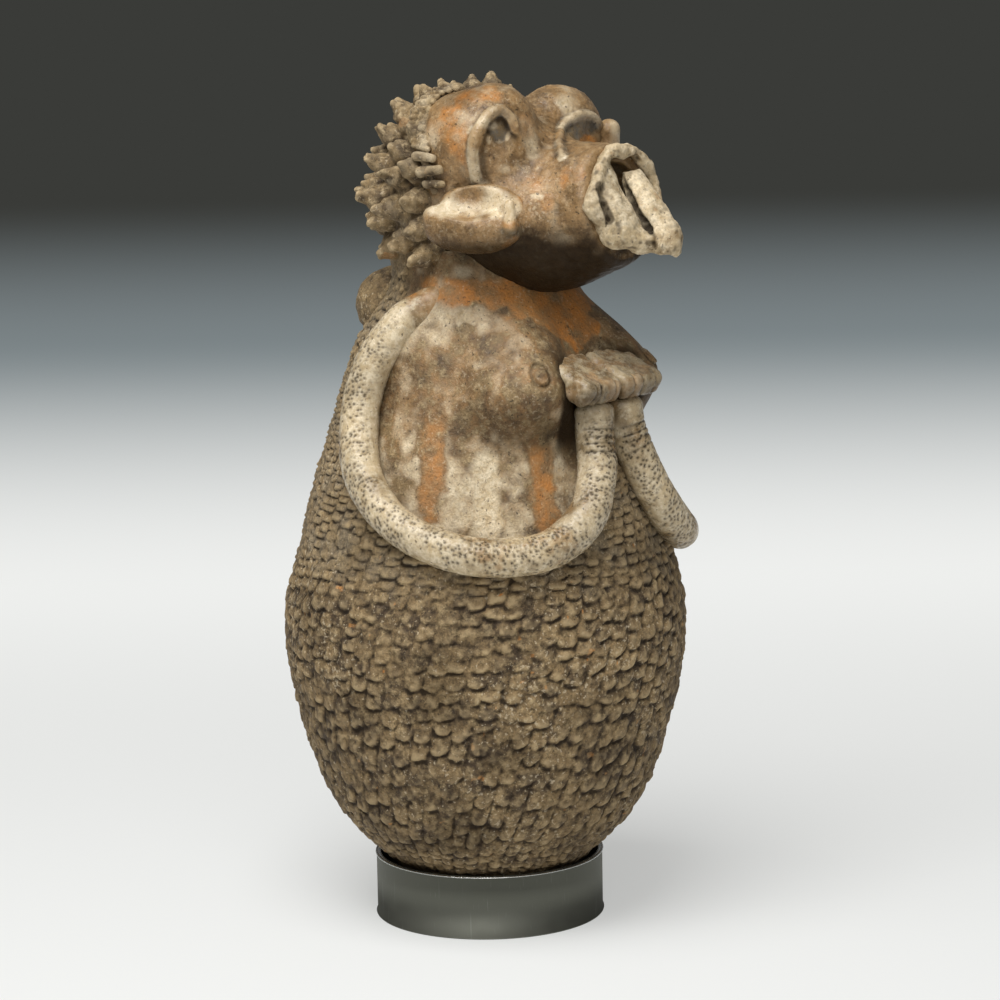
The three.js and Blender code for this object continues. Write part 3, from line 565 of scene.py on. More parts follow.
def fired_clay(name, dark, body, light, rough, flecks, wear, bump, gritty):
    """Low-fired, hand-built clay under slips, rubbed and smoked.

    It gives the eye firing clouds 40 mm across, a mottle of 4 to 13 mm, grit of 1 to 2 mm, painted shade in
    each hollow, worn pale crests, and slips that break up at their edges. The marks for ochre, kaolin, slate,
    soot and painted shade, shine and crest are shares painted on the mesh's points. flecks and wear are
    shares of pale specks and of worn crests, gritty and bump say how far its grain shows in colour and in
    relief. It is made once.
    """
    if name in bpy.data.materials:
        return bpy.data.materials[name]
    shades = colours()
    material, tree = new_material(name)
    place = node(tree, "TexCoord", out="Object")
    fire = node(tree, "TexNoise", {"Vector": place, "Scale": per_mm(40), "Detail": 3.0})
    cloud = node(tree, "TexNoise", {"Vector": place, "Scale": per_mm(13), "Detail": 6.0, "Roughness": 0.66})
    patch = node(tree, "TexNoise", {"Vector": place, "Scale": per_mm(4.2), "Detail": 5.0, "Roughness": 0.7})
    grit = node(tree, "TexNoise", {"Vector": place, "Scale": per_mm(1.3), "Detail": 2.0, "Roughness": 0.6})

    # Mottled body: smoke clouds, then paler patches
    smoke = node(tree, "MapRange", {"Value": cloud, "From Min": 0.4, "From Max": 0.57})
    colour = node(tree, "Mix", {0: smoke, 6: solid(dark), 7: solid(body)}, 2, **RGBA)
    pale = node(tree, "MapRange", {"Value": patch, "From Min": 0.5, "From Max": 0.7, "To Max": 0.8})
    colour = node(tree, "Mix", {0: pale, 6: colour, 7: solid(light)}, 2, **RGBA)

    # Slips, broken by cloud and patch so that their edges look rubbed
    ragged = node(tree, "Math", {0: cloud, 1: patch}, operation="ADD")
    for mark, thin, thick, grain_in in (
        ("ochre", shades.ochre, shades.rust, cloud),
        ("kaolin", shades.limb, shades.kaolin, patch),
        ("slate", shades.slate, shades.smoked, patch),
    ):
        amount = node(tree, "Attribute", attribute_name=mark, out="Fac")
        held = node(tree, "Math", {0: ragged, 1: -0.5, 2: amount}, operation="MULTIPLY_ADD")
        cover = node(tree, "MapRange", {"Value": held, "From Min": -0.28, "From Max": 0.2, "To Max": 0.9})
        deep = node(tree, "MapRange", {"Value": grain_in, "From Min": 0.36, "From Max": 0.62})
        coat = node(tree, "Mix", {0: deep, 6: solid(thin), 7: solid(thick)}, 2, **RGBA)
        colour = node(tree, "Mix", {0: cover, 6: colour, 7: coat}, 2, **RGBA)

    # Firing clouds, grit, dark pits and clustered pale flecks
    tone = node(tree, "MapRange", {"Value": fire, **USUAL, "To Min": 0.8, "To Max": 1.14})
    dim, lit = 1 - 1.15 * gritty, 1 + 0.95 * gritty
    fine = node(tree, "MapRange", {"Value": grit, **USUAL, "To Min": dim, "To Max": lit})
    shine = node(tree, "Attribute", attribute_name="shine", out="Fac")
    fine = node(tree, "Mix", {0: shine, 2: fine, 3: 1.0})
    shade = node(tree, "Math", {0: tone, 1: fine}, operation="MULTIPLY")
    colour = node(tree, "Mix", {0: 1.0, 6: colour, 7: shade}, 2, **TINT)
    speck = node(tree, "TexNoise", {"Vector": place, "Scale": per_mm(2.0), "Detail": 2.0, "Roughness": 0.55})
    dark_pit = node(tree, "MapRange", {"Value": speck, "From Min": 0.37, "From Max": 0.27, "To Max": 0.75})
    colour = node(tree, "Mix", {0: dark_pit, 6: colour, 7: solid(shades.soot_and_shade)}, 2, **RGBA)
    cluster = node(tree, "Math", {0: fire, 1: 0.35, 2: speck}, operation="MULTIPLY_ADD")
    bright = node(tree, "MapRange", {"Value": cluster, "From Min": 0.8, "From Max": 0.88, "To Max": flecks})
    bright = node(tree, "Mix", {0: shine, 2: bright, 3: 0.0})
    colour = node(tree, "Mix", {0: bright, 6: colour, 7: solid(shades.kaolin)}, 2, **RGBA)

    # Worn crests, painted shade in the hollows, and the soot and painted shade marked on the points
    crest = node(tree, "Attribute", attribute_name="crest", out="Fac")
    worn = node(tree, "MapRange", {"Value": crest, "From Min": 0.1, "From Max": 0.9, "To Max": wear})
    worn = node(tree, "Math", {0: worn, 1: ragged}, operation="MULTIPLY", use_clamp=True)
    colour = node(tree, "Mix", {0: worn, 6: colour, 7: solid(light)}, 2, **RGBA)
    # Painted shade: the soot colour darkens every hollow
    hollow_shade = node(tree, "MapRange", {"Value": crest, "From Min": -0.06, "From Max": -0.8, "To Max": 0.88})
    colour = node(tree, "Mix", {0: hollow_shade, 6: colour, 7: solid(shades.soot_and_shade)}, 2, **RGBA)
    soot_and_shade_share = node(tree, "Attribute", attribute_name="soot_and_shade", out="Fac")
    colour = node(tree, "Mix", {0: soot_and_shade_share, 6: colour, 7: solid(shades.soot_and_shade)}, 2, **RGBA)

    # Burnish: smoother where it was rubbed or glazed, rougher in soot and hollows
    burnish = {"Value": patch, **USUAL, "To Min": rough - 0.2, "To Max": rough + 0.12}
    uneven = node(tree, "MapRange", burnish)
    dull = node(tree, "Math", {0: hollow_shade, 1: 0.2, 2: uneven}, operation="MULTIPLY_ADD")
    surface = node(tree, "Math", {0: shine, 1: -0.38, 2: dull}, operation="MULTIPLY_ADD", use_clamp=True)

    # Grain too fine for the mesh
    height = node(tree, "Math", {0: grit, 1: 0.5, 2: patch}, operation="MULTIPLY_ADD")
    normal = node(tree, "Bump", {"Strength": bump, "Distance": 0.9 * MM, "Height": height})
    sheen = node(tree, "MapRange", {"Value": soot_and_shade_share, "To Min": 0.35, "To Max": 0.08})
    finish = {"Base Color": colour, "Roughness": surface, "Normal": normal, "Specular IOR Level": sheen}
    shader = node(tree, "BsdfPrincipled", {**finish, "IOR": 1.5})
    node(tree, "OutputMaterial", {"Surface": shader})
    return material


def smoked_clay():
    """Smoke-fired coiled clay, left rough: dark grey brown, matt, with worn pale pellet tops."""
    c = colours()
    shades = (c.smoked_dark, c.smoked, c.smoked_light)
    return fired_clay("smoke_fired_clay", *shades, rough=0.8, flecks=0.5, wear=0.7, bump=1.0, gritty=0.34)


def ochre_clay():
    """Burnished ochre slip on clay: warm, half gloss, flecked with white."""
    c = colours()
    shades = (c.ochre_dark, c.ochre, c.ochre_light)
    return fired_clay(
        "burnished_ochre_slip", *shades, rough=0.52, flecks=0.35, wear=0.35, bump=0.8, gritty=0.22
    )


def limb_clay():
    """Burnished pale slip on clay: grey beige, half gloss, stippled dark."""
    c = colours()
    shades = (c.limb_dark, c.limb, c.kaolin)
    return fired_clay("burnished_pale_slip", *shades, rough=0.46, flecks=0.4, wear=0.4, bump=0.5, gritty=0.16)


def hair_clay():
    """Pinched clay, hardly smoothed: matt and dusty, with painted shade between the locks."""
    c = colours()
    shades = (c.smoked_dark, c.hair, c.limb)
    return fired_clay("pinched_hair_clay", *shades, rough=0.85, flecks=0.3, wear=0.55, bump=0.9, gritty=0.24)


def mouth_clay():
    """Thick kaolin slip, matt and chalky, rubbed to the clay on its edges."""
    c = colours()
    shades = (c.hair, c.limb, c.kaolin)
    return fired_clay("chalky_kaolin_slip", *shades, rough=0.7, flecks=0.4, wear=0.4, bump=0.65, gritty=0.2)


def blackened_steel():
    """Steel tube, blackened and waxed: satin, dark grey, with fine handling scratches down its side."""
    shades = colours()
    material, tree = new_material("blackened_steel")
    place = node(tree, "TexCoord", out="Object")
    tall = node(tree, "Mapping", {"Vector": place, "Scale": (1.0, 1.0, 0.09)})
    line = node(tree, "TexNoise", {"Vector": tall, "Scale": per_mm(1.1), "Detail": 2.0, "Roughness": 0.6})
    cloud = node(tree, "TexNoise", {"Vector": place, "Scale": per_mm(12), "Detail": 4.0, "Roughness": 0.6})
    turned = node(tree, "Mapping", {"Vector": place, "Rotation": (0.5, 0.35, 0.2), "Scale": (1.0, 1.0, 0.05)})
    nick = node(tree, "TexNoise", {"Vector": turned, "Scale": per_mm(2.3), "Detail": 1.0, "Roughness": 0.4})
    scratch = node(tree, "MapRange", {"Value": line, "From Min": 0.66, "From Max": 0.78, "To Max": 0.12})
    nicked = node(tree, "MapRange", {"Value": nick, "From Min": 0.7, "From Max": 0.78, "To Max": 0.12})
    marks = node(tree, "Math", {0: scratch, 1: nicked}, operation="MAXIMUM")
    tone = node(tree, "MapRange", {"Value": cloud, **USUAL, "To Min": 0.93, "To Max": 1.06})
    colour = node(tree, "Mix", {0: 1.0, 6: solid(shades.steel), 7: tone}, 2, **TINT)
    colour = node(tree, "Mix", {0: marks, 6: colour, 7: solid(shades.steel_edge)}, 2, **RGBA)
    rough = node(tree, "MapRange", {"Value": cloud, **USUAL, "To Min": 0.6, "To Max": 0.7})
    normal = node(tree, "Bump", {"Strength": 0.15, "Distance": 0.2 * MM, "Height": line})
    skin = {"Base Color": colour, "Metallic": 1.0, "Roughness": rough, "Normal": normal}
    shader = node(tree, "BsdfPrincipled", skin)
    node(tree, "OutputMaterial", {"Surface": shader})
    return material


def bare_steel():
    """Steel rubbed bare along an edge: bright, with fine turning lines."""
    material, tree = new_material("rubbed_bare_steel")
    place = node(tree, "TexCoord", out="Object")
    line = node(tree, "TexNoise", {"Vector": place, "Scale": per_mm(2), "Detail": 3.0, "Roughness": 0.6})
    tone = node(tree, "MapRange", {"Value": line, **USUAL, "To Min": 0.75, "To Max": 1.0})
    colour = node(tree, "Mix", {0: 1.0, 6: solid(colours().steel_edge), 7: tone}, 2, **TINT)
    rough = node(tree, "MapRange", {"Value": line, **USUAL, "To Min": 0.18, "To Max": 0.32})
    shader = node(tree, "BsdfPrincipled", {"Base Color": colour, "Metallic": 1.0, "Roughness": rough})
    node(tree, "OutputMaterial", {"Surface": shader})
    return material


def stained_wood():
    """Plywood disc, stained dark and matt, with a fine straight grain."""
    material, tree = new_material("stained_wood")
    place = node(tree, "TexCoord", out="Object")
    along = node(tree, "Mapping", {"Vector": place, "Scale": (1.0, 0.08, 1.0)})
    fibre = node(tree, "TexNoise", {"Vector": along, "Scale": per_mm(1.4), "Detail": 4.0, "Roughness": 0.6})
    tone = node(tree, "MapRange", {"Value": fibre, **USUAL, "To Min": 0.6, "To Max": 1.5})
    colour = node(tree, "Mix", {0: 1.0, 6: solid(colours().wood), 7: tone}, 2, **TINT)
    normal = node(tree, "Bump", {"Strength": 0.3, "Distance": 0.3 * MM, "Height": fibre})
    shader = node(tree, "BsdfPrincipled", {"Base Color": colour, "Roughness": 0.7, "Normal": normal})
    node(tree, "OutputMaterial", {"Surface": shader})
    return material


def black_felt():
    """Pressed wool felt: black, matt, with a nap of short fibres."""
    material, tree = new_material("pressed_wool_felt")
    place = node(tree, "TexCoord", out="Object")
    nap = node(tree, "TexNoise", {"Vector": place, "Scale": per_mm(0.7), "Detail": 4.0, "Roughness": 0.75})
    tone = node(tree, "MapRange", {"Value": nap, **USUAL, "To Min": 0.5, "To Max": 1.6})
    colour = node(tree, "Mix", {0: 1.0, 6: solid(colours().felt), 7: tone}, 2, **TINT)
    normal = node(tree, "Bump", {"Strength": 0.6, "Distance": 0.4 * MM, "Height": nap})
    wool = {"Base Color": colour, "Roughness": 1.0, "Sheen Weight": 0.4, "Normal": normal}
    shader = node(tree, "BsdfPrincipled", wool)
    node(tree, "OutputMaterial", {"Surface": shader})
    return material


# The pot's wall: a profile read off the CAD walls, with breasts and pellets raised on it

WALL = 8.0  # mm, thickness of the CAD walls
# Distances from the axis that turn degrees into girth, in mm
BELLY_RADIUS = 106
CHEST_RADIUS = 86
BREAST_RADIUS = 92
NIPPLE_RADIUS = 96
SHOULDER_RADIUS = 64


def from_axis(points):
    """Distances of points from the vessel's axis."""
    return np.hypot(points[:, 0], points[:, 1])


def round_axis(turn, radius, height):
    """Points round the axis: turns in radians from straight ahead to the figure's right."""
    turn, radius, height = np.broadcast_arrays(turn, radius, height)
    return np.stack([-radius * np.sin(turn), -radius * np.cos(turn), height], -1)


def wall_profile():
    """Outer radius and height along the CAD wall, from the foot up, in millimetres.

    Pellets stand on the wall's outer face, so its rings are read off the inner face and set out by the
    thickness.
    """
    foot = node_points("base_bowl")
    foot = foot[foot[:, 2] < foot[:, 2].min() + 0.1]
    rings = [(from_axis(foot).max(), foot[0, 2])]
    for name in ("base_bowl", "belly_wall", "torso_wall"):
        points = node_points(name)
        radius = from_axis(points)
        for level in np.unique(np.round(points[:, 2], 1)):
            ring = radius[np.abs(points[:, 2] - level) < 0.06]
            if np.ptp(ring) > 0.75 * WALL and ring.min() > 1 and level > rings[-1][1] + 1:
                rings.append((ring.min() + WALL, level))
    neck = node_points("neck")
    radius = from_axis(neck)
    straight = neck[radius < radius[neck[:, 2] > neck[:, 2].max() - 0.1].max() + 0.1]
    radius = from_axis(straight)
    slim = radius.max()
    outer = straight[radius > slim - 0.2]
    rings += [(slim, outer[:, 2].min()), (slim, outer[:, 2].max())]
    return np.array(rings)


PROFILE = through(wall_profile(), 1200)
ALONG = np.concatenate([[0], np.cumsum(np.linalg.norm(np.diff(PROFILE, axis=0), axis=1))])
FACING = np.gradient(PROFILE, ALONG, axis=0)
FACING = np.stack([FACING[:, 1], -FACING[:, 0]], -1)
FOOT_HEIGHT = PROFILE[0, 1]


def along_at(height):
    """Distance along the profile from the foot's edge to a height."""
    return np.interp(height, PROFILE[:, 1], ALONG)


def wall_radius(height):
    """Outer radius of the bare wall at a height."""
    return np.interp(height, PROFILE[:, 1], PROFILE[:, 0])


# The arm's way, shoulder to wrist: degrees from straight ahead, height, and share of the arm's standoff
ARM_ROUTE = (
    (54, 349, -2.5),
    (64, 348.5, -1.6),
    (74, 347, -0.7),
    (83, 343, 0.1),
    (92, 334, 0.85),
    (99.5, 312, 1),
    (99, 282, 1),
    (91, 254.5, 1),
    (76, 233, 1),
    (56, 220, 1),
    (35, 220, 1),
    (20.5, 233, 1),
    (12.5, 253.5, 1),
    (9, 277, 1),
    (8.5, 295, 1.5),
)
ELBOW_SAG = {"right": 0, "left": 10}  # mm, of the elbow below its route


def arm_stations(side):
    """The arm's route as degrees, heights and standoffs in millimetres."""
    last = len(ARM_ROUTE) - 1
    standoff = sizes().arm_standoff / MM
    stations = []
    for place, (angle, height, share) in enumerate(ARM_ROUTE):
        sag = ELBOW_SAG[side] * math.sin(math.pi * place / last) ** 2
        stations.append((angle, height - sag, share * standoff))
    return np.array(stations)


CHEST_TOP = ((0, 297), (0, 372), (66, 372))  # closes an arm's loop over the breastbone and under the chin


def inside_loop(angle, height, side):
    """How far inside an arm's loop points of the wall lie, in mm. angle is in degrees to that side."""
    route = arm_stations(side)[:, :2]
    outline = np.vstack([through(route, 60), np.array(CHEST_TOP)])
    scale = np.radians(1) * CHEST_RADIUS  # millimetres of girth to a degree
    p = np.stack([angle * scale, height], -1)
    line = outline * np.array([scale, 1.0])
    nearest = np.full(angle.shape, 1e6)
    crossings = np.zeros(angle.shape, int)
    for a, b in zip(line, np.roll(line, -1, axis=0)):
        way = b - a
        share = np.clip(((p - a) @ way) / max(float(way @ way), 1e-9), 0, 1)
        gap = p - a - share[..., None] * way
        nearest = np.minimum(nearest, np.sqrt(np.sum(gap * gap, -1)))
        spans = (a[1] > p[..., 1]) != (b[1] > p[..., 1])
        rise = way[1] if abs(way[1]) > 1e-9 else 1e-9
        crossings += spans & (p[..., 0] < a[0] + (p[..., 1] - a[1]) / rise * way[0])
    return np.where(crossings % 2 == 1, nearest, -nearest)


def inside_arms(angle, height):
    """How far inside either arm's loop points of the wall lie, in millimetres."""
    return np.maximum(inside_loop(angle, height, "right"), inside_loop(-angle, height, "left"))


def chest_share(angle, height):
    """1 on the smooth chest within the arms' loops and on the neck's front, 0 on the pelleted wall."""
    loops = ease(-3, 5, inside_arms(angle, height))
    collar = ease(326, 338, height) * ease(112, 96, np.abs(angle))
    return np.maximum(loops, collar)


SHOULDER = ((62, 347), (78, 344), (90, 334))  # degrees and heights along an arm's root
BREAST_ANGLE = 31  # degrees from straight ahead
BREAST_HEIGHT = 307
BREAST_INWARD = 40  # mm, half widths towards the breastbone and towards the arm
BREAST_OUTWARD = 50
BREAST_UP = 54  # mm, from its fullest height up to where it runs out under the collar
BREAST_DOWN = 41  # mm, from there down to its fold
NIPPLE_HEIGHT = 311
NIPPLE_GROOVE = 5.4  # mm, radius of the groove round a nipple


def nipple_gap(angle, height):
    """Distance over the chest from a nipple's middle. angle is in degrees to that side."""
    return np.hypot(np.radians(angle - BREAST_ANGLE) * NIPPLE_RADIUS, height - NIPPLE_HEIGHT)


def breast_lift(angle, height):
    """How far the breasts and nipples stand off the wall: a straight slope above, round below."""
    total = np.zeros(angle.shape)
    most = sizes().breast_relief / MM
    for side in (1, -1):
        across = np.radians(side * angle - BREAST_ANGLE) * BREAST_RADIUS
        wide = np.where(across > 0, BREAST_OUTWARD, BREAST_INWARD)
        over = np.cos(np.pi / 2 * np.clip(across / wide, -1, 1)) ** 1.6
        rise = height - BREAST_HEIGHT
        slope = np.clip(1 - rise / BREAST_UP, 0, 1) ** 1.15
        fold = np.cos(np.pi / 2 * np.clip(rise / BREAST_DOWN, -1, 0)) ** 1.7
        total = np.maximum(total, most * over * np.where(rise > 0, slope, fold))
        disc = nipple_gap(side * angle, height)
        total += 1.5 * ease(4.6, 2.8, disc) - 1.4 * ridge(disc - NIPPLE_GROOVE, 1.0)
    return total


def shoulder_share(angle, height):
    """1 along the roots of the arms, where they are drawn out of the shoulder, and 0 well away from them."""
    spots = np.stack([np.radians(np.abs(angle)) * SHOULDER_RADIUS, height, 0 * height], -1)
    nearest = np.full(angle.shape, 1e3)
    for a, b in zip(SHOULDER[:-1], SHOULDER[1:]):
        start, end = ((np.radians(side) * SHOULDER_RADIUS, level, 0) for side, level in (a, b))
        nearest = np.minimum(nearest, to_rod(spots, start, end, 0, 0))
    return ridge(nearest, 16)


def pellet_lift(angle, along, radius):
    """Height of the pressed pellets: each swells down to a scalloped edge over a slit, like a shingle."""
    size = sizes()
    columns = size.pellet_columns
    relief = size.pellet_relief / MM
    spacing = 2 * np.pi * radius / columns
    lean = math.tan(size.pellet_lean) / BELLY_RADIUS  # radians of girth to a millimetre of rise
    turn = (np.radians(angle) + lean * along) / (2 * np.pi) * columns
    middle = np.floor(turn)
    best = np.zeros(turn.shape)
    slit = np.zeros(turn.shape)
    still = np.stack([radius * np.sin(np.radians(angle)), radius * np.cos(np.radians(angle)), along], -1)
    broken = 0.12 * grain(still, 3.4, 17) + 0.08 * grain(still, 2, 18)
    for side in (-1, 0, 1):
        column = np.mod(middle + side, columns)
        start = scatter(column, 5)
        pitch = size.pellet_pitch / MM * (0.9 + 0.2 * scatter(column, 6)) * np.clip(radius / 100, 0.72, 1.05)
        row_now = np.floor(along / pitch + start)
        for step in (-1, 0, 1):
            row = row_now + step
            chance = [scatter(column, row, salt) for salt in (11, 12, 13, 14, 15, 16)]
            x = (turn - (middle + side + 0.5 + 0.24 * (chance[0] - 0.5))) * spacing
            y = along - (row + 0.5 + 0.34 * (chance[1] - 0.5) - start) * pitch
            tilt = 0.5 * (chance[2] - 0.5)
            u = (x - tilt * y) / (np.minimum(0.53 * spacing, 6.6) * (0.84 + 0.28 * chance[3]))
            v = (y + tilt * x) / (0.6 * pitch * (0.84 + 0.32 * chance[4])) + broken
            dome = np.clip(1 - u * u, 0, 1)
            low = -0.8 * dome**0.3
            strength = 0.5 + 0.6 * chance[5]
            swell = ease(low - 0.08, low + 0.26, v) * np.clip((1.2 - v) / (0.9 - low), 0, 1)
            best = np.maximum(best, relief * strength * dome**0.5 * swell)
            slit = np.maximum(slit, strength * dome**0.7 * ridge(v - low + 0.14, 0.19))
    seam = ridge((turn - np.round(turn)) * spacing, 1.1)
    cut = 1.15 * slit * ease(0.6, 0.2, best / relief)
    return best - cut - (0.3 + 0.4 * ease(150, 60, along)) * seam * (1 - best / relief)


def wall_face(angle, along):
    """Points of the pot's outer face, and its relief.

    angle is in degrees from straight ahead, and along is the distance up the profile from the foot's edge.
    """
    radius = np.interp(along, ALONG, PROFILE[:, 0])
    height = np.interp(along, ALONG, PROFILE[:, 1])
    out = np.interp(along, ALONG, FACING[:, 0])
    up = np.interp(along, ALONG, FACING[:, 1])
    turn = np.radians(angle)
    chest = chest_share(angle, height)
    bare = ease(24, 46, height) * ease(366, 352, height)
    still = np.stack([radius * np.sin(turn), radius * np.cos(turn), height], -1)
    lumps = 0.8 * grain(still, 34, 3) + 0.5 * grain(still, 8, 4)
    rough = 0.5 * grain(still, 5.2, 5) + 0.55 * grain(still, 2.5, 9)
    smooth = 0.7 * grain(still, 40, 6) + 0.22 * grain(still, 7, 7) + 0.1 * grain(still, 2.6, 8)
    bare = bare * (0.72 + 0.38 * grain(still, 24, 10))
    relief = (1 - chest) * (bare * pellet_lift(angle, along, radius) + rough) + chest * smooth
    lift = relief + (1 - chest) * lumps
    r = radius + chest * breast_lift(angle, height) + lift * out + 8 * shoulder_share(angle, height)
    return round_axis(turn, r, height + lift * up), relief


# Slip on the chest: (degrees from, degrees to, low, high, amount), seen on one side and repeated on the other
OCHRE_STRIPES = ((66, 74, 240, 296, 0.54), (27, 34, 224, 278, 0.66))
KAOLIN_STRIPES = (
    (45, 54, 222, 272, 0.95),
    (37, 44, 222, 242, 0.75),
    (57, 63, 236, 264, 0.66),
    (14, 22, 226, 262, 0.45),
)
KAOLIN_PATCH = (56, 339, 14, 7, 0.5)  # degrees, height, half spread in degrees and millimetres, amount
COLLAR_LOW = ((0, 318), (14, 326), (20, 336), (42, 344), (66, 346), (82, 352), (104, 362))  # degrees, height
COLLAR_HIGH = 357


def stripe_share(angle, height, stripes):
    """How much of vertical stripes covers points of the chest."""
    total = np.zeros(angle.shape)
    for first, last, low, high, amount in stripes:
        inside = ease(first - 4, first + 3, angle) * ease(last + 4, last - 3, angle)
        share = amount * inside * ease(low - 6, low + 6, height)
        total = np.maximum(total, share * ease(high + 12, high - 12, height))
    return total


def wall_marks(angle, height, points):
    """Slips, soot and painted shade on the pot's outer face, per point."""
    side = np.abs(angle)
    chest = chest_share(angle, height)
    blur = grain(points, 9, 21) + 0.5 * grain(points, 4, 22)
    collar_low = np.interp(side, *np.array(COLLAR_LOW).T)
    collar = ease(-5, 4, height + 5 * blur - collar_low) * ease(104, 88, side)
    collar *= ease(COLLAR_HIGH + 6, COLLAR_HIGH - 4, height + 3 * blur)
    stripes = stripe_share(side + 3 * blur, height + 7 * blur, OCHRE_STRIPES) * (0.94 + 0.45 * blur)
    ochre = np.maximum.reduce([1.15 * collar, stripes, 0.3 + 0.12 * blur])
    kaolin = stripe_share(side + 1.5 * blur, height, KAOLIN_STRIPES) * (1 + 0.35 * blur)
    middle, level, wide, tall, amount = KAOLIN_PATCH
    patch = np.hypot((side - middle) / wide, (height - level) / tall) + 0.7 * grain(points, 3.4, 25)
    kaolin = np.maximum(kaolin, amount * ease(1.2, 0.3, patch))
    wash = 0.34 * ease(214, 236, height) * ease(296, 258, height) + 0.1 + 0.5 * shoulder_share(angle, height)
    kaolin = chest * np.maximum(kaolin, wash + 0.42 * blur)
    kaolin = kaolin * (1 - 0.75 * ease(0.1, 0.5, stripes)) * (1 - 0.8 * collar)
    # Painted shade in the soot colour: under the breasts' fold, round the neck's top under the head, along
    # the inner edges of the arms' loops, in the nipples' grooves, and in the gaps beside the hands
    fold = np.hypot((side - 36) / 38, (height - 284) / 17)
    soot_and_shade = 0.5 * ease(1.1, 0.25, fold + 0.1 * blur) + 0.45 * ease(356, 364, height)
    edge = ease(14, 2, inside_arms(angle, height))
    soot_and_shade = np.maximum(soot_and_shade, 0.4 * edge * (0.7 + 0.5 * blur))
    hand_gap_shade = chest * ease(26, 22, side) * ease(9, 14, side) * ease(256, 276, height) * ease(326, 312, height)
    soot_and_shade = np.maximum(soot_and_shade, 0.75 * ridge(nipple_gap(side, height) - NIPPLE_GROOVE, 0.9))
    soot_and_shade = np.maximum(chest * soot_and_shade * (1 - 0.55 * ochre), 0.95 * hand_gap_shade)
    spot = ease(0.84, 0.9, grain(points, 4.5, 23)) * (1 - chest)
    # Stains at random that grow darker towards the foot, and pale slip that grows on the upper wall
    stains_darker_to_foot = (0.3 * ease(0.15, 0.8, grain(points, 26, 24)) + 0.16 * ease(125, 60, height)) * (1 - chest)
    pale_slip_higher_up = 0.3 * (1 - chest) * ease(165, 215, height)
    return {
        "ochre": np.maximum(chest * ochre, 0.8 * spot),
        "kaolin": np.maximum(kaolin, pale_slip_higher_up),
        "slate": 0.26 * chest * ease(1.1, 0.3, np.hypot((side - 44) / 22, (height - 322) / 17) + 0.25 * blur),
        "soot_and_shade": np.clip(soot_and_shade + stains_darker_to_foot, 0, 0.95),
        "shine": 0.5 * chest,
    }


WALL_SIDES = 720  # points round the wall
SPARE_ROWS = 10  # worked out past a stage's ends, so that wear and shading run on over its joints


def wall_rows(first, last, count):
    """Rows of the outer face: points, outward directions, degrees, heights and crests."""
    sides = WALL_SIDES
    step = (last - first) / (count - 1)
    alongs = first + step * np.arange(-SPARE_ROWS, count + SPARE_ROWS)
    a, s = np.meshgrid(np.linspace(-180, 180, sides, endpoint=False), alongs)
    points, relief = wall_face(a, s)
    wide = relief
    for _ in range(16):
        wide = 0.5 * wide + 0.25 * (np.roll(wide, 1, 1) + np.roll(wide, -1, 1))
        ends = np.pad(wide, ((1, 1), (0, 0)), "edge")
        wide = 0.5 * wide + 0.25 * (ends[2:] + ends[:-2])
    along_girth = np.roll(points, -1, 1) - np.roll(points, 1, 1)
    outward = np.cross(np.gradient(points, axis=0), along_girth)
    outward /= np.maximum(np.linalg.norm(outward, axis=-1, keepdims=True), 1e-9)
    height = np.interp(s, ALONG, PROFILE[:, 1])
    kept = slice(SPARE_ROWS, SPARE_ROWS + count)
    crest = np.clip((relief - wide) / 0.85, -1, 1)
    return [grid[kept] for grid in (points, outward, a, height, crest)]


def inner_rows(alongs, sides):
    """Rows of points of the wall's inner face."""
    thick = sizes().wall_thickness / MM
    radius = np.interp(alongs, ALONG, PROFILE[:, 0]) - thick
    height = np.interp(alongs, ALONG, PROFILE[:, 1])
    turn = np.radians(np.linspace(-180, 180, sides, endpoint=False))
    return round_axis(turn, radius[:, None], height[:, None])


def lathe_faces(rows, sides, closed):
    """Quads between rows of points, and from the last row back to the first where the rows close up."""
    low = np.arange(rows if closed else rows - 1)
    high = (low + 1) % rows
    place = np.arange(sides)
    after = (place + 1) % sides
    grid = [
        low[:, None] * sides + place,
        low[:, None] * sides + after,
        high[:, None] * sides + after,
        high[:, None] * sides + place,
    ]
    return np.stack(grid, -1).reshape(-1, 4)


def end_fans(sides, end, first, last):
    """Triangles from one point to the first row of a tube, and from another to the row that starts at end."""
    place = np.arange(sides)
    after = (place + 1) % sides
    fans = [
        np.stack([np.full(sides, first), place, after], -1),
        np.stack([np.full(sides, last), end + after, end + place], -1),
    ]
    return np.concatenate(fans)


def wall_stage(name, low, high, nodes):
    """One stage of the coiled wall, as a thick ring from one height to another."""
    first, last = along_at(low), along_at(high)
    face = wall_rows(first, last, max(8, int((last - first) / cell())))
    sides = face[0].shape[1]
    inner = inner_rows(np.linspace(last, first, 12), sides)
    rows = np.concatenate([face[0], inner])
    points = rows.reshape(-1, 3)
    faces = outside_out(points, [lathe_faces(len(rows), sides, True)])
    finish_wall(name, points, faces, face, nodes)


BOWL_ROWS = 0.86  # rows to a cell, as the bowl's long wall would have too many faces with one


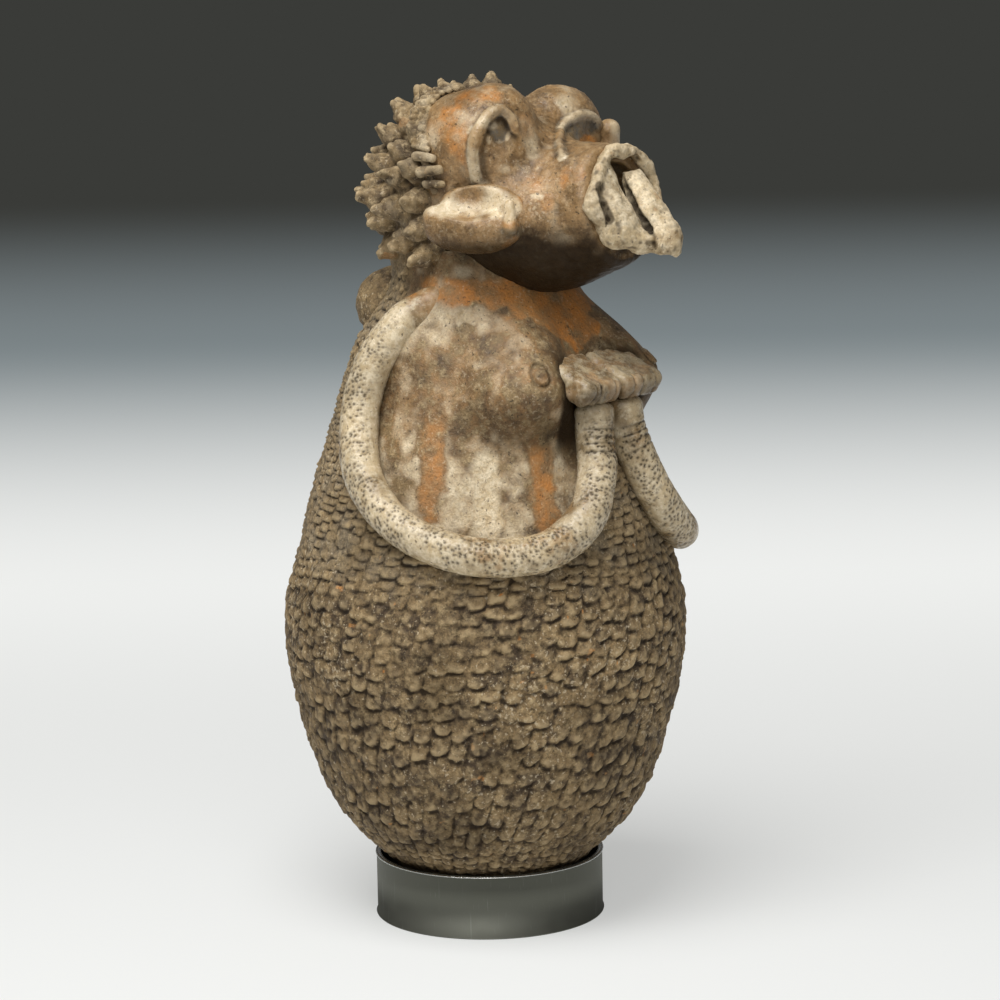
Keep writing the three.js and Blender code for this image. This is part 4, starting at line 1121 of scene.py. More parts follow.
def base_bowl(nodes):
    """The base bowl with its floor: a foot, the wall, a rim, and the inner face."""
    last = along_at(node_box("base_bowl")[1][2])
    face = wall_rows(0, last, int(BOWL_ROWS * last / cell()))
    outer = face[0]
    sides = outer.shape[1]
    thick = sizes().wall_thickness / MM
    inner = inner_rows(np.linspace(last, along_at(FOOT_HEIGHT + thick), 14), sides)
    shares = np.array([0.12, 0.5, 0.9])[:, None, None]
    foot = outer[:1] * np.array([1, 1, 0]) * shares + np.array([0, 0, FOOT_HEIGHT])
    floor = inner[-1:] * np.array([1, 1, 0]) * shares[::-1] + np.array([0, 0, FOOT_HEIGHT + thick])
    rows = np.concatenate([foot, outer, inner, floor])
    points = np.vstack([rows.reshape(-1, 3), [[0, 0, FOOT_HEIGHT], [0, 0, FOOT_HEIGHT + thick]]])
    caps = end_fans(sides, (len(rows) - 1) * sides, len(points) - 2, len(points) - 1)[:, [0, 2, 1]]
    faces = outside_out(points, [lathe_faces(len(rows), sides, False), caps])
    finish_wall("base_bowl_clay", points, faces, face, nodes, len(foot))


def finish_wall(name, points, faces, face, nodes, start=0):
    """Marks a stage of the wall, and makes it a piece. Its outer rows begin at start."""
    outer, outward, angle, height, crest = face
    rows, sides = angle.shape
    on_face = slice(start * sides, (start + rows) * sides)
    shown = wall_marks(angle.ravel(), height.ravel(), outer.reshape(-1, 3))
    shown["crest"] = crest.ravel() * (1 - 0.5 * chest_share(angle, height).ravel())
    marks = {}
    for key, share in shown.items():
        marks[key] = np.zeros(len(points))
        marks[key][on_face] = share
    piece = make_piece(name, points, faces, [smoked_clay()], "vessel", nodes, marks)
    # Rims keep the shading of the whole wall, and their own edges go unseen in the joints
    directions = np.zeros((len(points), 3))
    for row in (0, rows - 1):
        directions[(start + row) * sides : (start + row + 1) * sides] = outward[row]
    piece.data.normals_split_custom_set_from_vertices(directions.tolist())


class VESSEL_OT_pot(Operator):
    """Makes the coiled pot: base bowl, belly, torso with its breasts, and neck"""

    bl_idname = "vessel.pot"
    bl_label = "Coiled pot"

    def execute(self, context):
        bowl_rim = node_box("base_bowl")[1][2]
        belly_rim = node_box("belly_wall")[1][2]
        torso_rim = node_box("torso_wall")[1][2]
        neck_rim = node_box("neck")[1][2]
        base_bowl(["base_bowl"])
        wall_stage("belly_clay", bowl_rim, belly_rim, ["belly_wall"])
        breasts = ["breast_right", "breast_left", "nipple_right", "nipple_left"]
        wall_stage("torso_clay", belly_rim, torso_rim, ["torso_wall", *breasts])
        wall_stage("neck_clay", torso_rim, neck_rim, ["neck"])
        return {"FINISHED"}


# Head

HEAD = np.array([0, -8, 402.0])  # middle of the cranium
CRANIUM = np.array([54, 55, 50.0])
MOUTH = np.array([0, -99, 400.0])  # middle of the mouth's ring
MOUTH_TILT = math.radians(10)
MOUTH_OUT = np.array([0, -math.cos(MOUTH_TILT), math.sin(MOUTH_TILT)])
MOUTH_UP = np.array([0, math.sin(MOUTH_TILT), math.cos(MOUTH_TILT)])

# Lids: x, forward and z of each roll's way over its eye
LIDS = (
    (
        (-49, 39, 411),
        (-53, 40, 424),
        (-52, 41, 434),
        (-46, 44, 444),
        (-39, 47, 448),
        (-35, 51, 445),
        (-33, 54, 439),
    ),
    (
        (-20, 74, 423),
        (-13, 67, 427),
        (-4, 60, 431),
        (8, 52, 435),
        (17, 48, 438),
        (29, 49, 441),
        (41, 49, 439),
        (48, 48, 433),
    ),
)
# Hollows of the eyes: middle (x, forward, z), outward and upward directions, half width, depth and height
EYES = (
    ((-44.5, 51, 429), (-0.62, -0.78, 0.05), (0.2, -0.15, 0.95), (9, 4.5, 16)),
    ((31, 54, 430), (0.15, -0.97, 0.2), (-0.2, 0.1, 1), (15, 4, 8)),
)

# Rust, pale slip with painted glints, and smoked patches of the face: x, forward and z of each middle, radius
# and amount
RUST_PATCHES = (
    (-42, 29, 456, 12, 0.9),
    (-37, 39, 455, 11, 0.8),
    (-53, 26, 447, 13, 0.85),
    (-56, 28, 436, 14, 0.9),
    (-55, 36, 426, 9, 0.6),
    (-27, 56, 438, 12, 0.65),
    (-36, 66, 414, 12, 0.45),
    (-35, 72, 402, 9, 0.5),
    (-27, 85, 414, 12, 0.6),
    (31, 52, 427, 15, 0.95),
    (16, 60, 430, 11, 0.8),
    (-56, 16, 438, 12, 0.6),
    (48, 24, 446, 18, 0.7),
    (54, 26, 424, 16, 0.6),
    (36, 76, 400, 18, 0.5),
)
# Pale slip patches; the spots on the temple and on the bridge between the eyes are partly painted glints and
# painted light
PALE_AND_GLINT_PATCHES = (
    (24, 44, 448, 13, 0.6),
    (36, 36, 452, 14, 0.5),
    (-35, 33, 459, 10, 0.5),
    (-36, 69, 404, 6, 0.8),
    (-40, 49, 416, 7, 0.75),
    (-46, 41, 407, 8, 0.7),
    (-53, 38, 440, 5, 0.7),
    (-25, 57, 425, 8, 0.6),
    (-46, 8, 436, 12, 0.5),
    (-57, 17, 436, 14, 0.6),
    # Painted light on the shaded bridge between the eyes, then five painted glints in the near eye
    (-27, 56, 434, 16, 0.7),
    (-47, 47, 432, 4, 0.9),
    (-42, 50, 432, 4, 0.9),
    (-38, 52, 434, 4, 0.9),
    (-45, 48, 440, 5, 0.95),
    (-44, 49, 436, 4, 0.9),
    (44, 50, 405, 12, 0.5),
)
SMOKE_PATCHES = ((-42, 22, 459, 19, 0.42),)


def forward(route):
    """A route given by x, forward and z, as points in the frame."""
    return np.array([(x, -ahead, z) for x, ahead, z in route], float)


class VESSEL_OT_face(Operator):
    """Models the face: cranium, snout, jaw, forehead lobes, lids and eyes, smoothed into one skin"""

    bl_idname = "vessel.face"
    bl_label = "Face"

    def execute(self, context):
        corner = (-70, -118, 338)
        clay = ClayField(corner, (70, 54, 466), cell())
        clay.ball(HEAD, CRANIUM)
        # Snout, throat, lower jaw and cheeks
        clay.rod((0, -30, 391), (0, -98, 399), 40, 30.5, 12)
        clay.ball((0, -53, 375), (33, 31, 25), 12)
        clay.rod((0, -62, 384), (0, -100, 392.5), 31.5, 26, 8)
        for side in (-1, 1):
            clay.ball((side * 24, -46, 390), (24, 28, 24), 12)
        # Temples, the forehead's lobes and the furrow between them
        clay.ball((-35, -14, 429), (20, 21, 26.5), 12)
        clay.ball((36, -14, 420), (19, 20, 24), 12)
        clay.ball((-28, -27, 430), (29, 27, 29), 8)
        clay.ball((-24, -33.5, 434), (21, 20.5, 27), 8)
        clay.ball((32, -30, 427.5), (31, 22, 29), 5)
        clay.rod((-1, -46, 447), (-1, -12, 464), 3, 6, 7, cut=True)
        # Lids, with the eyes hollowed under them
        lids = []
        for route, (place, out, up, radii) in zip(LIDS, EYES):
            lid = through(forward(route), 30)
            for _ in range(12):
                lid = clay.settled(lid)
            lids.append(lid)
            clay.ball(forward([place])[0], radii, 2.5, cut=True, turn=facing_axes(out, up))
        for lid in lids:
            clay.roll(lid, 0.9 + 1.5 * np.sin(np.pi * np.linspace(0.08, 0.92, len(lid))) ** 0.5, 1.5)
        # The snout's flat end and its bore, and the jaw's flat underside
        flat = (MOUTH - 3 * MOUTH_OUT).astype(np.float32)
        away = MOUTH_OUT.astype(np.float32)
        clay.work(corner, (70, -80, 466), 5, lambda p: -((p - flat) @ away), cut=True)
        clay.rod((0, -62, 398), MOUTH + 8 * MOUTH_OUT, 15, 21.5, 1, cut=True)
        chin = np.float32([0, -104, 365.5])
        slope = np.float32([0, -0.349, -0.9375])
        clay.work(corner, (70, -30, 390), 5, lambda p: -((p - chin) @ slope), cut=True)
        points, faces = clay.skin()
        points = roughened(points, faces, ((0.9, 30, 31), (0.55, 10, 32), (0.35, 4, 33), (0.15, 2.2, 34)))
        marks = self.painted(points, faces, lids)
        nodes = ["cranium", "snout", "jaw"]
        for pair in ("brow", "eyelid", "eye"):
            nodes += [pair + "_right", pair + "_left"]
        make_piece("face_clay", points, faces, [ochre_clay()], "vessel", nodes, marks)
        return {"FINISHED"}

    def painted(self, points, faces, lids):
        """Slips, soot, painted shade, painted glints and gloss on the face, per point."""
        outward = normals_of(points, faces)
        blur = grain(points, 9, 41) + 0.5 * grain(points, 4, 42)
        rust = near(points + 3 * blur[:, None], RUST_PATCHES)
        pale = near(points + 3 * blur[:, None], PALE_AND_GLINT_PATCHES)
        lid = np.minimum(near_path(points, lids[0]), near_path(points, lids[1]))
        on_lid = ease(4.2, 2.8, lid + 0.6 * blur)
        in_eye = np.zeros(len(points))
        upper = np.zeros(len(points))
        for place, out, up, radii in EYES:
            local = (points - forward([place])[0]) @ facing_axes(out, up) / (np.array(radii) * (1, 2.4, 1))
            here = ease(1.5, 1.1, np.linalg.norm(local, axis=1)) * (1 - on_lid)
            in_eye = np.maximum(in_eye, here)
            upper = np.maximum(upper, here * ease(-0.25, 0.45, local[:, 2] + 0.3 * blur))
        # Painted shade: along the inside of each lid (most in the near eye), in the near eye's upper hollow,
        # lightly in the lower hollows, inside the mouth's bore, and together with soot on the jaw's downward
        # faces
        lid_shade = in_eye * ease(8.5, 5, lid) * np.where(points[:, 0] > 0, 0.3, 1)
        dim = 0.4 * upper * (1 - pale) * (points[:, 0] < 0)
        smoke = near(points, SMOKE_PATCHES)
        grey_lid = np.where(points[:, 0] > -30, 0.28, 0.3 * ease(0.1, 0.6, -blur))
        underside_soot_and_shade = ease(400, 378, points[:, 2] + 5 * blur - 0.1 * (points[:, 1] + 60))
        underside_soot_and_shade = underside_soot_and_shade * ease(0.5, -0.1, outward[:, 2])
        inside = ease(26, 22, np.hypot(points[:, 0], points[:, 2] - 399)) * ease(-92, -96, points[:, 1])
        return {
            "ochre": np.clip(rust * (0.8 + 0.45 * blur), 0, 1) * (1 - on_lid),
            "kaolin": np.maximum.reduce(
                [on_lid * (0.5 + 0.55 * blur), pale * (0.7 + 0.4 * blur), 0.12 + 0.28 * blur]
            ),
            "slate": np.clip(upper * (0.9 - 0.7 * pale) + on_lid * grey_lid, 0, 1),
            # Soot and painted shade
            "soot_and_shade": np.clip(
                0.95 * underside_soot_and_shade + 0.05 * in_eye * (1 - upper) + 0.6 * lid_shade + dim + smoke + 0.9 * inside, 0, 0.96
            ),
            "shine": np.clip(0.3 + 0.6 * on_lid + 0.9 * upper - 0.9 * underside_soot_and_shade, 0, 1),
            "crest": crests_of(points, faces, 0.6),
        }


# The tongue's lobes, its groove and the lip under it: across, up and out from the mouth's middle, and radius
TONGUE = (
    ((-8.5, 17, -5.5, 5.8), (-11.5, 7, -4, 8.6), (-12, -4, 0, 9.8), (-11, -10, 3, 9.2), (-9.5, -16, 6, 7.4)),
    ((9.5, 9, 0, 6), (9.5, -3, 5, 7.6), (9.4, -13, 11, 8), (9.2, -20, 16, 7.2), (8.8, -25, 21, 5.2)),
    ((-20, -10, 0, 4.6), (-16, -15, 2, 5)),
)
TONGUE_GROOVE = ((0, 23, -5), (0.4, 8, 0), (0.4, -6, 6), (0, -17, 12), (-0.6, -25, 15))
LOWER_LIP = (((-12, -18, 3), (5, -26, 16)), ((-2, -24, 8), (14, -22, 8)))


class VESSEL_OT_mouth(Operator):
    """Models the lip's roll round the mouth and the grooved tongue that lies over the lower lip"""

    bl_idname = "vessel.mouth"
    bl_label = "Lip and tongue"

    def execute(self, context):
        clay = ClayField((-38, -142, 356), (38, -78, 438), 0.8 * cell())
        turn = np.linspace(0, 2 * np.pi, 49)
        across, up = np.sin(turn), np.cos(turn)
        tall = np.where(up > 0, 26.5, 21.5 - 5 * np.clip(-across, 0, 1))
        wide = 28 * (1 - 0.4 * np.clip(up, 0, 1) * (across < 0))
        ring = np.stack([wide * across, tall * up, 0.8 * np.sin(2 * turn)], -1)
        clay.roll(self.placed(ring), 3.7 + 0.6 * np.sin(3 * turn + 1), 0)
        axes = np.stack([(1, 0, 0), MOUTH_UP, MOUTH_OUT], -1)
        for lobe in TONGUE:
            stations = np.array(lobe, float)
            line = through(stations[:, :3], 12)
            radii = np.interp(np.linspace(0, len(lobe) - 1, 12), np.arange(len(lobe)), stations[:, 3])
            for spot, radius in zip(self.placed(line), radii):
                clay.ball(spot, (1.15 * radius, 9, 0.85 * radius), 2.5, turn=axes)
        for start, end in LOWER_LIP:
            clay.rod(*self.placed([start, end]), 6, 5.6, 4)
        groove = through(self.placed(TONGUE_GROOVE), 20)
        clay.roll(groove, np.linspace(2.2, 2.0, 20), 1.0, cut=True)
        for depth in (-8, -4, 0, 4):
            slit = through(self.placed([(-23.5, 9, depth), (-24.5, 1, depth), (-22.5, -9, depth + 1)]), 12)
            clay.roll(slit, 0.8 + 1.5 * np.sin(np.pi * np.linspace(0.06, 0.94, 12)), 0.5, cut=True)
        clay.ball(self.placed([(9, 18.5, 0)])[0], (6.5, 4.5, 7), 1.2, cut=True, turn=axes)
        points, faces = clay.skin()
        points = roughened(points, faces, ((0.8, 11, 51), (0.6, 4.5, 52), (0.4, 2.2, 54)))
        blur = grain(points, 6, 53) + 0.5 * grain(points, 3, 55)
        back = ease(1.5, -3.5, (points - MOUTH) @ MOUTH_OUT)
        gap = np.minimum(near_path(points, groove), near_path(points, slit))
        tongue = ease(24, 18, np.linalg.norm((points - MOUTH) @ np.stack([(1, 0, 0), MOUTH_UP], -1), axis=1))
        specks = (0.6 - 0.3 * tongue) * ease(0.3, 0.75, grain(points, 2.6, 56))
        marks = {
            "ochre": 0.4 * back * ease(-0.2, 0.5, blur) + 0.35 * ease(0.55, 0.95, -blur),
            "kaolin": np.clip(0.16 + 0.45 * blur - 0.5 * back + 0.55 * tongue, 0, 1),
            # Dark specks at random, and painted shade in the tongue's groove and along one of the slits
            "soot_and_shade": np.clip(specks + 0.75 * ease(3.6, 2.4, gap), 0, 0.92),
            "shine": np.full(len(points), 0.12),
            "crest": crests_of(points, faces, 0.5),
        }
        nodes = ["mouth_rim", "tongue_right", "tongue_left"]
        make_piece("lip_and_tongue", points, faces, [mouth_clay()], "vessel", nodes, marks)
        return {"FINISHED"}

    def placed(self, spots):
        """Points given across, up and out from the middle of the mouth, in the frame."""
        return MOUTH + np.asarray(spots, float) @ np.array([(1, 0, 0), MOUTH_UP, MOUTH_OUT])


EAR_MIDDLE = np.array([-54, -42, 392.0])
EAR_SPLAY = math.radians(24)
EAR_LIFT = {"right": 0, "left": 96}  # degrees, of the ear's tip
EAR_RAISE = {"right": (0, 0, 0), "left": (0, -3, 8)}  # mm
# Belly and flange in the ear's own directions, towards the head, to its tip and up: place, radii, reach
EAR_LUMPS = (((-1, 1, -6), (10.5, 26, 12), 0), ((4, -2, 5), (6.5, 24, 13), 3))


class VESSEL_OT_ears(Operator):
    """Models the two cupped ears"""

    bl_idname = "vessel.ears"
    bl_label = "Ears"

    def execute(self, context):
        for side in ("right", "left"):
            lift = math.radians(EAR_LIFT[side])
            turn = np.array(Matrix.Rotation(EAR_SPLAY, 3, "Z") @ Matrix.Rotation(lift, 3, "X"))
            clay = ClayField((-86, -84, 352), (-26, 2, 452), 0.85 * cell())
            heart = EAR_MIDDLE + np.array(EAR_RAISE[side])
            for place, radii, reach in EAR_LUMPS:
                clay.ball(heart + turn @ np.array(place), radii, reach, turn=turn)
            tip = heart + np.array([(-1, 10, -1), (-1, 22 + 0.1 * EAR_LIFT[side], 1)]) @ turn.T
            clay.rod(*tip, 8, 6.2, 4)
            scoop = heart + turn @ np.array((-11, 2, 12.5))
            clay.ball(scoop, (13, 24, 12.5), 1, cut=True, turn=turn)
            curl = heart + np.array([(-6, -20, 8), (-8, -21, -4)]) @ turn.T
            clay.rod(*curl, 2.6, 3.4, 3)
            points, faces = clay.skin()
            points = roughened(points, faces, ((0.6, 14, 61), (0.25, 5, 62)))
            local = (points - heart) @ turn
            marks = self.painted(points, faces, local)
            if side == "left":
                marks["kaolin"] *= 0.55
                points, faces = mirrored(points, faces)
            name = "ear_" + side
            make_piece(name + "_clay", points, faces, [ochre_clay()], "vessel", [name], marks)
        return {"FINISHED"}

    def painted(self, points, faces, local):
        """Pale slip in the ear's cup, bare brown clay on its belly, with painted shade towards its underside.
        """
        blur = grain(points, 7, 63) + 0.5 * grain(points, 3.5, 64)
        cup = ease(-3, 4, local[:, 2] + 1.5 * blur) * ease(4, -1, local[:, 0])
        belly = ease(1, -7, local[:, 2] + 2 * blur)
        front = ease(-10, -19, local[:, 1])
        return {
            "ochre": 0.5 * front * ease(-0.2, 0.4, blur),
            "kaolin": np.clip(0.75 + 0.4 * blur, 0, 1) * cup,
            "slate": 0.7 * belly * front * ease(-12, -5, local[:, 2]),
            # Painted shade on the ear's belly, darkest on its underside
            "soot_and_shade": np.clip(0.36 * belly + 0.45 * ease(-8, -15, local[:, 2]), 0, 0.85),
            "shine": 0.35 + 0.35 * cup,
            "crest": crests_of(points, faces, 0.55),
        }


# Hair

# The fringe's way along the hairline, from above the ear to the crown: x, forward, z on the right side
FRINGE_ROUTE = (
    (-55.5, 18, 407),
    (-57.5, 16, 417),
    (-57, 11, 426),
    (-52, 4, 435),
    (-47.5, 2, 444),
    (-44, 3.5, 450.5),
    (-39.5, 7, 455),
    (-33, 10, 457.5),
)


def lock_ways():
    """Directions in which the locks stand out from the head, in rings about the back of it."""
    ways = []
    for ring in range(7):
        tilt = ring / 6.3 * math.pi / 2
        around = max(1, round(2 * math.pi * CRANIUM[1] * math.sin(tilt) / 16))
        for place in range(around):
            shake = scatter(np.array([ring, ring]), np.array([place, place]), np.array([71, 72])) - 0.5
            turn = 2 * math.pi * (place + 0.5 * (ring % 2) + 0.35 * shake[0]) / around
            lean = tilt + 0.09 * shake[1]
            way = np.array([math.sin(lean) * math.cos(turn), math.cos(lean), math.sin(lean) * math.sin(turn)])
            if way[2] > -0.82 and not (way[1] < 0.08 and way[2] > 0.72):
                ways.append(way)
    return ways


class VESSEL_OT_hair(Operator):
    """Models the hair: a cap set with pinched locks, the notched fringe, and the knot at the nape"""

    bl_idname = "vessel.hair"
    bl_label = "Hair"

    def execute(self, context):
        self.cap()
        for side in ("right", "left"):
            self.fringe(side)
        self.knot()
        return {"FINISHED"}

    def cap(self):
        """The cap with its locks."""
        size = sizes()
        corner = (-76, -16, 358)
        clay = ClayField(corner, (76, 76, 476), cell())
        clay.ball(HEAD, CRANIUM + 3.5)
        back = np.float32(-3)
        clay.work(
            corner, (76, 2, 476), 3, lambda p: p[..., 1] - back + 0.06 * (p[..., 2] - 440), cut=True
        )
        hem = np.float32(HEAD[2] - 38)
        clay.work(corner, (76, 76, 372), 3, lambda p: p[..., 2] - hem, cut=True)
        clay.ball(HEAD, CRANIUM - 6, 0, cut=True)
        reach, root = size.lock_length / MM, size.lock_radius / MM
        for number, way in enumerate(lock_ways()):
            chance = scatter(np.full(6, number), np.arange(6), np.full(6, 77))
            base = HEAD + way * CRANIUM
            bend = np.array(
                [0.5 * (chance[0] - 0.5), 0.25 * (chance[1] - 0.3), 0.35 + 0.4 * (chance[2] - 0.5)]
            )
            tip_way = way + 0.55 * bend
            tip_way /= np.linalg.norm(tip_way)
            long = reach * (0.8 + 0.4 * chance[3]) * (0.68 if way[2] > 0.88 else 1)
            wide = root * (0.85 + 0.3 * chance[4])
            middle = base + way * long * 0.45
            tip = middle + tip_way * long * 0.55
            pinch = np.cross(tip_way, chance[[1, 3, 5]] - 0.5)
            pinch *= (0.4 + 1.2 * chance[5]) / np.linalg.norm(pinch)
            for edge, blend in ((-1, 0.3), (1, 1.5)):
                stations = np.array([base - 2 * way, middle + 0.8 * edge * pinch, tip + edge * pinch])
                clay.roll(stations, np.array([wide, 0.58 * wide, 1.2 + 0.7 * chance[4]]), blend)
        points, faces = clay.skin()
        points = roughened(points, faces, ((0.5, 5, 81), (0.4, 2.6, 82)))
        marks = self.painted(points, faces, 1.1, 3)
        make_piece("hair_cap_clay", points, faces, [hair_clay()], "vessel", ["hair_cap"], marks)

    def fringe(self, side):
        """A roll along the hairline, pressed into lugs, that ends above the ear in three longer ones."""
        way = through(forward(FRINGE_ROUTE if side == "right" else FRINGE_ROUTE[:-3]), 90)
        clay = ClayField((-74, -36, 396), (-14, 16, 472), 0.8 * cell())
        clay.roll(way + np.array([2.0, 3.0, -1.0]), 2.6, 0)
        whole = np.sum(np.linalg.norm(np.diff(way, axis=0), axis=1))
        along = np.concatenate([[2, 9.5, 17], np.arange(23, whole, 3.9)])
        steps = (along / whole * 89).round().astype(int)
        for number, step in enumerate(steps):
            chance = scatter(np.full(4, number), np.arange(4), np.full(4, 91))
            spot = way[step]
            out = (spot - HEAD) / CRANIUM
            out = out / np.linalg.norm(out)
            low = number < 3
            half = (4.4 if low else 4.2) + 1.2 * (chance[0] - 0.5)
            thick = (2.4 if low else 1.9) * (0.75 + 0.45 * chance[1])
            lie = np.array([0, 1.0, 0]) - out[1] * out
            lie = lie / np.linalg.norm(lie) + np.array([0, 0, 0.4 * (chance[2] - 0.5)])
            lug = spot + out * (0.8 + 0.8 * chance[3])
            clay.rod(lug - half * lie, lug + (half + 1.5) * lie, thick, thick * 1.1, 0.9)
        points, faces = clay.skin()
        points = roughened(points, faces, ((0.5, 5, 92), (0.3, 2.6, 93)))
        marks = self.painted(points, faces, 0.8, 2)
        marks["kaolin"] = np.clip(0.25 + 0.35 * grain(points, 6, 94), 0, 1)
        if side == "left":
            points, faces = mirrored(points, faces)
        name = "fringe_" + side
        make_piece(name + "_clay", points, faces, [hair_clay()], "vessel", [name], marks)

    def knot(self):
        """The stippled knot of clay at the nape."""
        low, high = node_box("nape_knot")
        middle = (low + high) / 2 + np.array([0, -3, 0])
        half = (high - low) / 2
        clay = ClayField(low - 12, high + 12, 0.9 * cell())
        clay.ball(middle, half + np.array([0, 2.5, 0]))
        clay.ball(middle + np.array([0, -9, -9]), half * 0.9, 8)
        points, faces = clay.skin()
        points = roughened(points, faces, ((1.0, 12, 95), (0.6, 4.2, 96)))
        marks = self.painted(points, faces, 0.9, 2)
        name = "nape_knot"
        make_piece(name + "_clay", points, faces, [smoked_clay()], "vessel", [name], marks)

    def painted(self, points, faces, full, rounds):
        """Random ochre and pale dust, and the crests by which the material wears the tips pale and paints
        shade between the locks.
        """
        blur = grain(points, 8, 97)
        return {
            "ochre": 0.4 * ease(0.45, 0.8, blur),
            "kaolin": 0.25 * ease(0.0, 0.7, -blur),
            "crest": crests_of(points, faces, full, rounds),
        }


# Arms and hands


class VESSEL_OT_arms(Operator):
    """Rolls the two arms round the belly, with stippled skin and cut bracelets"""

    bl_idname = "vessel.arms"
    bl_label = "Arms"

    def execute(self, context):
        for side in ("right", "left"):
            self.arm(side)
        return {"FINISHED"}

    def arm(self, side):
        """One arm, as a roll along its route on the wall."""
        size = sizes()
        route = arm_stations(side)
        turn = np.radians(route[:, 0])
        radius = wall_radius(route[:, 1]) + route[:, 2]
        stations = round_axis(turn, radius, route[:, 1])
        rough_length = np.sum(np.linalg.norm(np.diff(stations, axis=0), axis=1))
        steps = int(rough_length / (0.66 * cell()))
        sides = int(np.pi * size.arm_diameter / MM / (0.66 * cell()))
        line = through(stations, steps)
        tangent = np.gradient(line, axis=0)
        tangent /= np.linalg.norm(tangent, axis=1, keepdims=True)
        out = line * np.array([1, 1, 0.0]) + np.array([0, 0, 14.0])
        out -= np.sum(out * tangent, 1, keepdims=True) * tangent
        out /= np.linalg.norm(out, axis=1, keepdims=True)
        up = np.cross(tangent, out)
        share = np.linspace(0, 1, steps)
        taper = (size.wrist_diameter - size.arm_diameter) * ease(0.45, 0.95, share)
        full = 0.5 * (size.arm_diameter + taper) / MM
        blunt = np.ones(steps)
        for part, rounding in ((share, 8), (1 - share, 6)):
            blunt *= np.sqrt(np.clip(1 - np.clip(1 - part * rough_length / rounding, 0, 1) ** 2, 0.02, 1))
        around = np.linspace(0, 2 * np.pi, sides, endpoint=False)
        ray = np.cos(around)[None, :, None] * out[:, None] + np.sin(around)[None, :, None] * up[:, None]
        along = np.repeat((share * rough_length)[:, None], sides, axis=1)
        pits = self.stipples(along, around[None] * full[:, None])
        facing = ease(-0.45, 0.3, np.cos(around - 0.3))[None]
        pits = pits * facing * ease(0.1, 0.2, share)[:, None] * ease(1.0, 0.93, share)[:, None]
        bands = self.bracelets(along, rough_length) * ease(-0.1, 0.4, np.cos(around))[None]
        still = line[:, None] + full[:, None, None] * ray
        pits = pits * ease(-0.8, 0.1, grain(still, 9, 105) + 0.4 * grain(still, 4, 106))
        uneven = 0.55 * grain(still, 26, 101) + 0.22 * grain(still, 7, 102)
        lift = uneven - 0.6 * pits - 0.5 * bands
        reach = (full * blunt)[:, None] + lift * blunt[:, None]
        points = (line[:, None] + reach[..., None] * ray).reshape(-1, 3)
        points = np.vstack([points, line[:1], line[-1:]])
        caps = end_fans(sides, (steps - 1) * sides, len(points) - 2, len(points) - 1)
        faces = [lathe_faces(steps, sides, False)[:, ::-1], caps]
        marks = self.painted(points, faces, pits, bands, share, around)
        if side == "left":
            points = points * np.array([-1, 1, 1])
        faces = outside_out(points, faces)
        name = "arm_" + side
        make_piece(name + "_clay", points, faces, [limb_clay()], "vessel", [name], marks)

    def stipples(self, along, girth):
        """Depth of small pricks, strewn along the arm in clusters, as shares."""
        depth = np.zeros(along.shape)
        pitch, gap = 2.3, 2.0
        row, column = np.floor(along / pitch), np.floor(girth / gap)
        for i, j in itertools.product((-1, 0, 1), repeat=2):
            chance = [scatter(row + i, column + j, salt) for salt in (111, 112, 113)]
            x = along - (row + i + 0.5 + 0.8 * (chance[0] - 0.5)) * pitch
            y = girth - (column + j + 0.5 + 0.8 * (chance[1] - 0.5)) * gap
            prick = np.exp(-(x * x + 0.6 * y * y) / (0.16 + 0.5 * chance[2])) * ease(0.2, 0.5, chance[2])
            depth = np.maximum(depth, prick)
        return depth

    def bracelets(self, along, whole):
        """Depth of four rings cut round the wrist, as shares."""
        depth = np.zeros(along.shape)
        for ring in range(4):
            place = whole - 30 + 4.4 * ring + 0.5 * (ring % 2)
            depth = np.maximum(depth, ridge(along - place, 0.75))
        return depth

    def painted(self, points, faces, pits, bands, share, around):
        """Pale slip on the outside of the roll, bare clay where it meets the wall, dark pricks, and painted
        shade on the side that faces the wall and in the bracelets' cuts.
        """
        blur = 1.2 * grain(points, 15, 104) + 0.6 * grain(points, 5, 107)
        outer = np.append((0.5 + 0.5 * np.cos(around))[None] * np.ones((len(share), 1)), [0, 0])
        tall = np.append(pits.ravel(), [0, 0])
        cut = np.append(bands.ravel(), [0, 0])
        spans = ((0.84, 0.97, (0, 0)), (0.4, 0.7, (0, 0)), (0.2, 0.06, (0, 0)), (0.15, 0.085, (1, 0)))
        wrist, fore, root, tip = (
            np.append(np.repeat(ease(low, high, share), len(around)), ends)
            for low, high, ends in spans
        )
        return {
            "ochre": 0.3 * ease(0.45, 0.9, -blur) + 0.45 * tip,
            "kaolin": np.clip(
                0.18 + 0.44 * outer + 0.5 * blur + 0.1 * fore - 0.2 * wrist - 0.05 * root - 0.6 * tip, 0, 1
            ),
            # Dark pricks, darker wrist and tip, and painted shade in the bracelets' cuts and on the side of
            # the roll that faces the wall
            "soot_and_shade": np.clip(
                0.95 * tall + 0.45 * cut + 0.55 * ease(0.4, 0.1, outer) + 0.2 * wrist + 0.3 * tip, 0, 0.9
            ),
            "shine": np.clip(0.5 - 0.5 * tall, 0, 1),
            "crest": 0.5 * crests_of(points, faces, 0.7),
        }


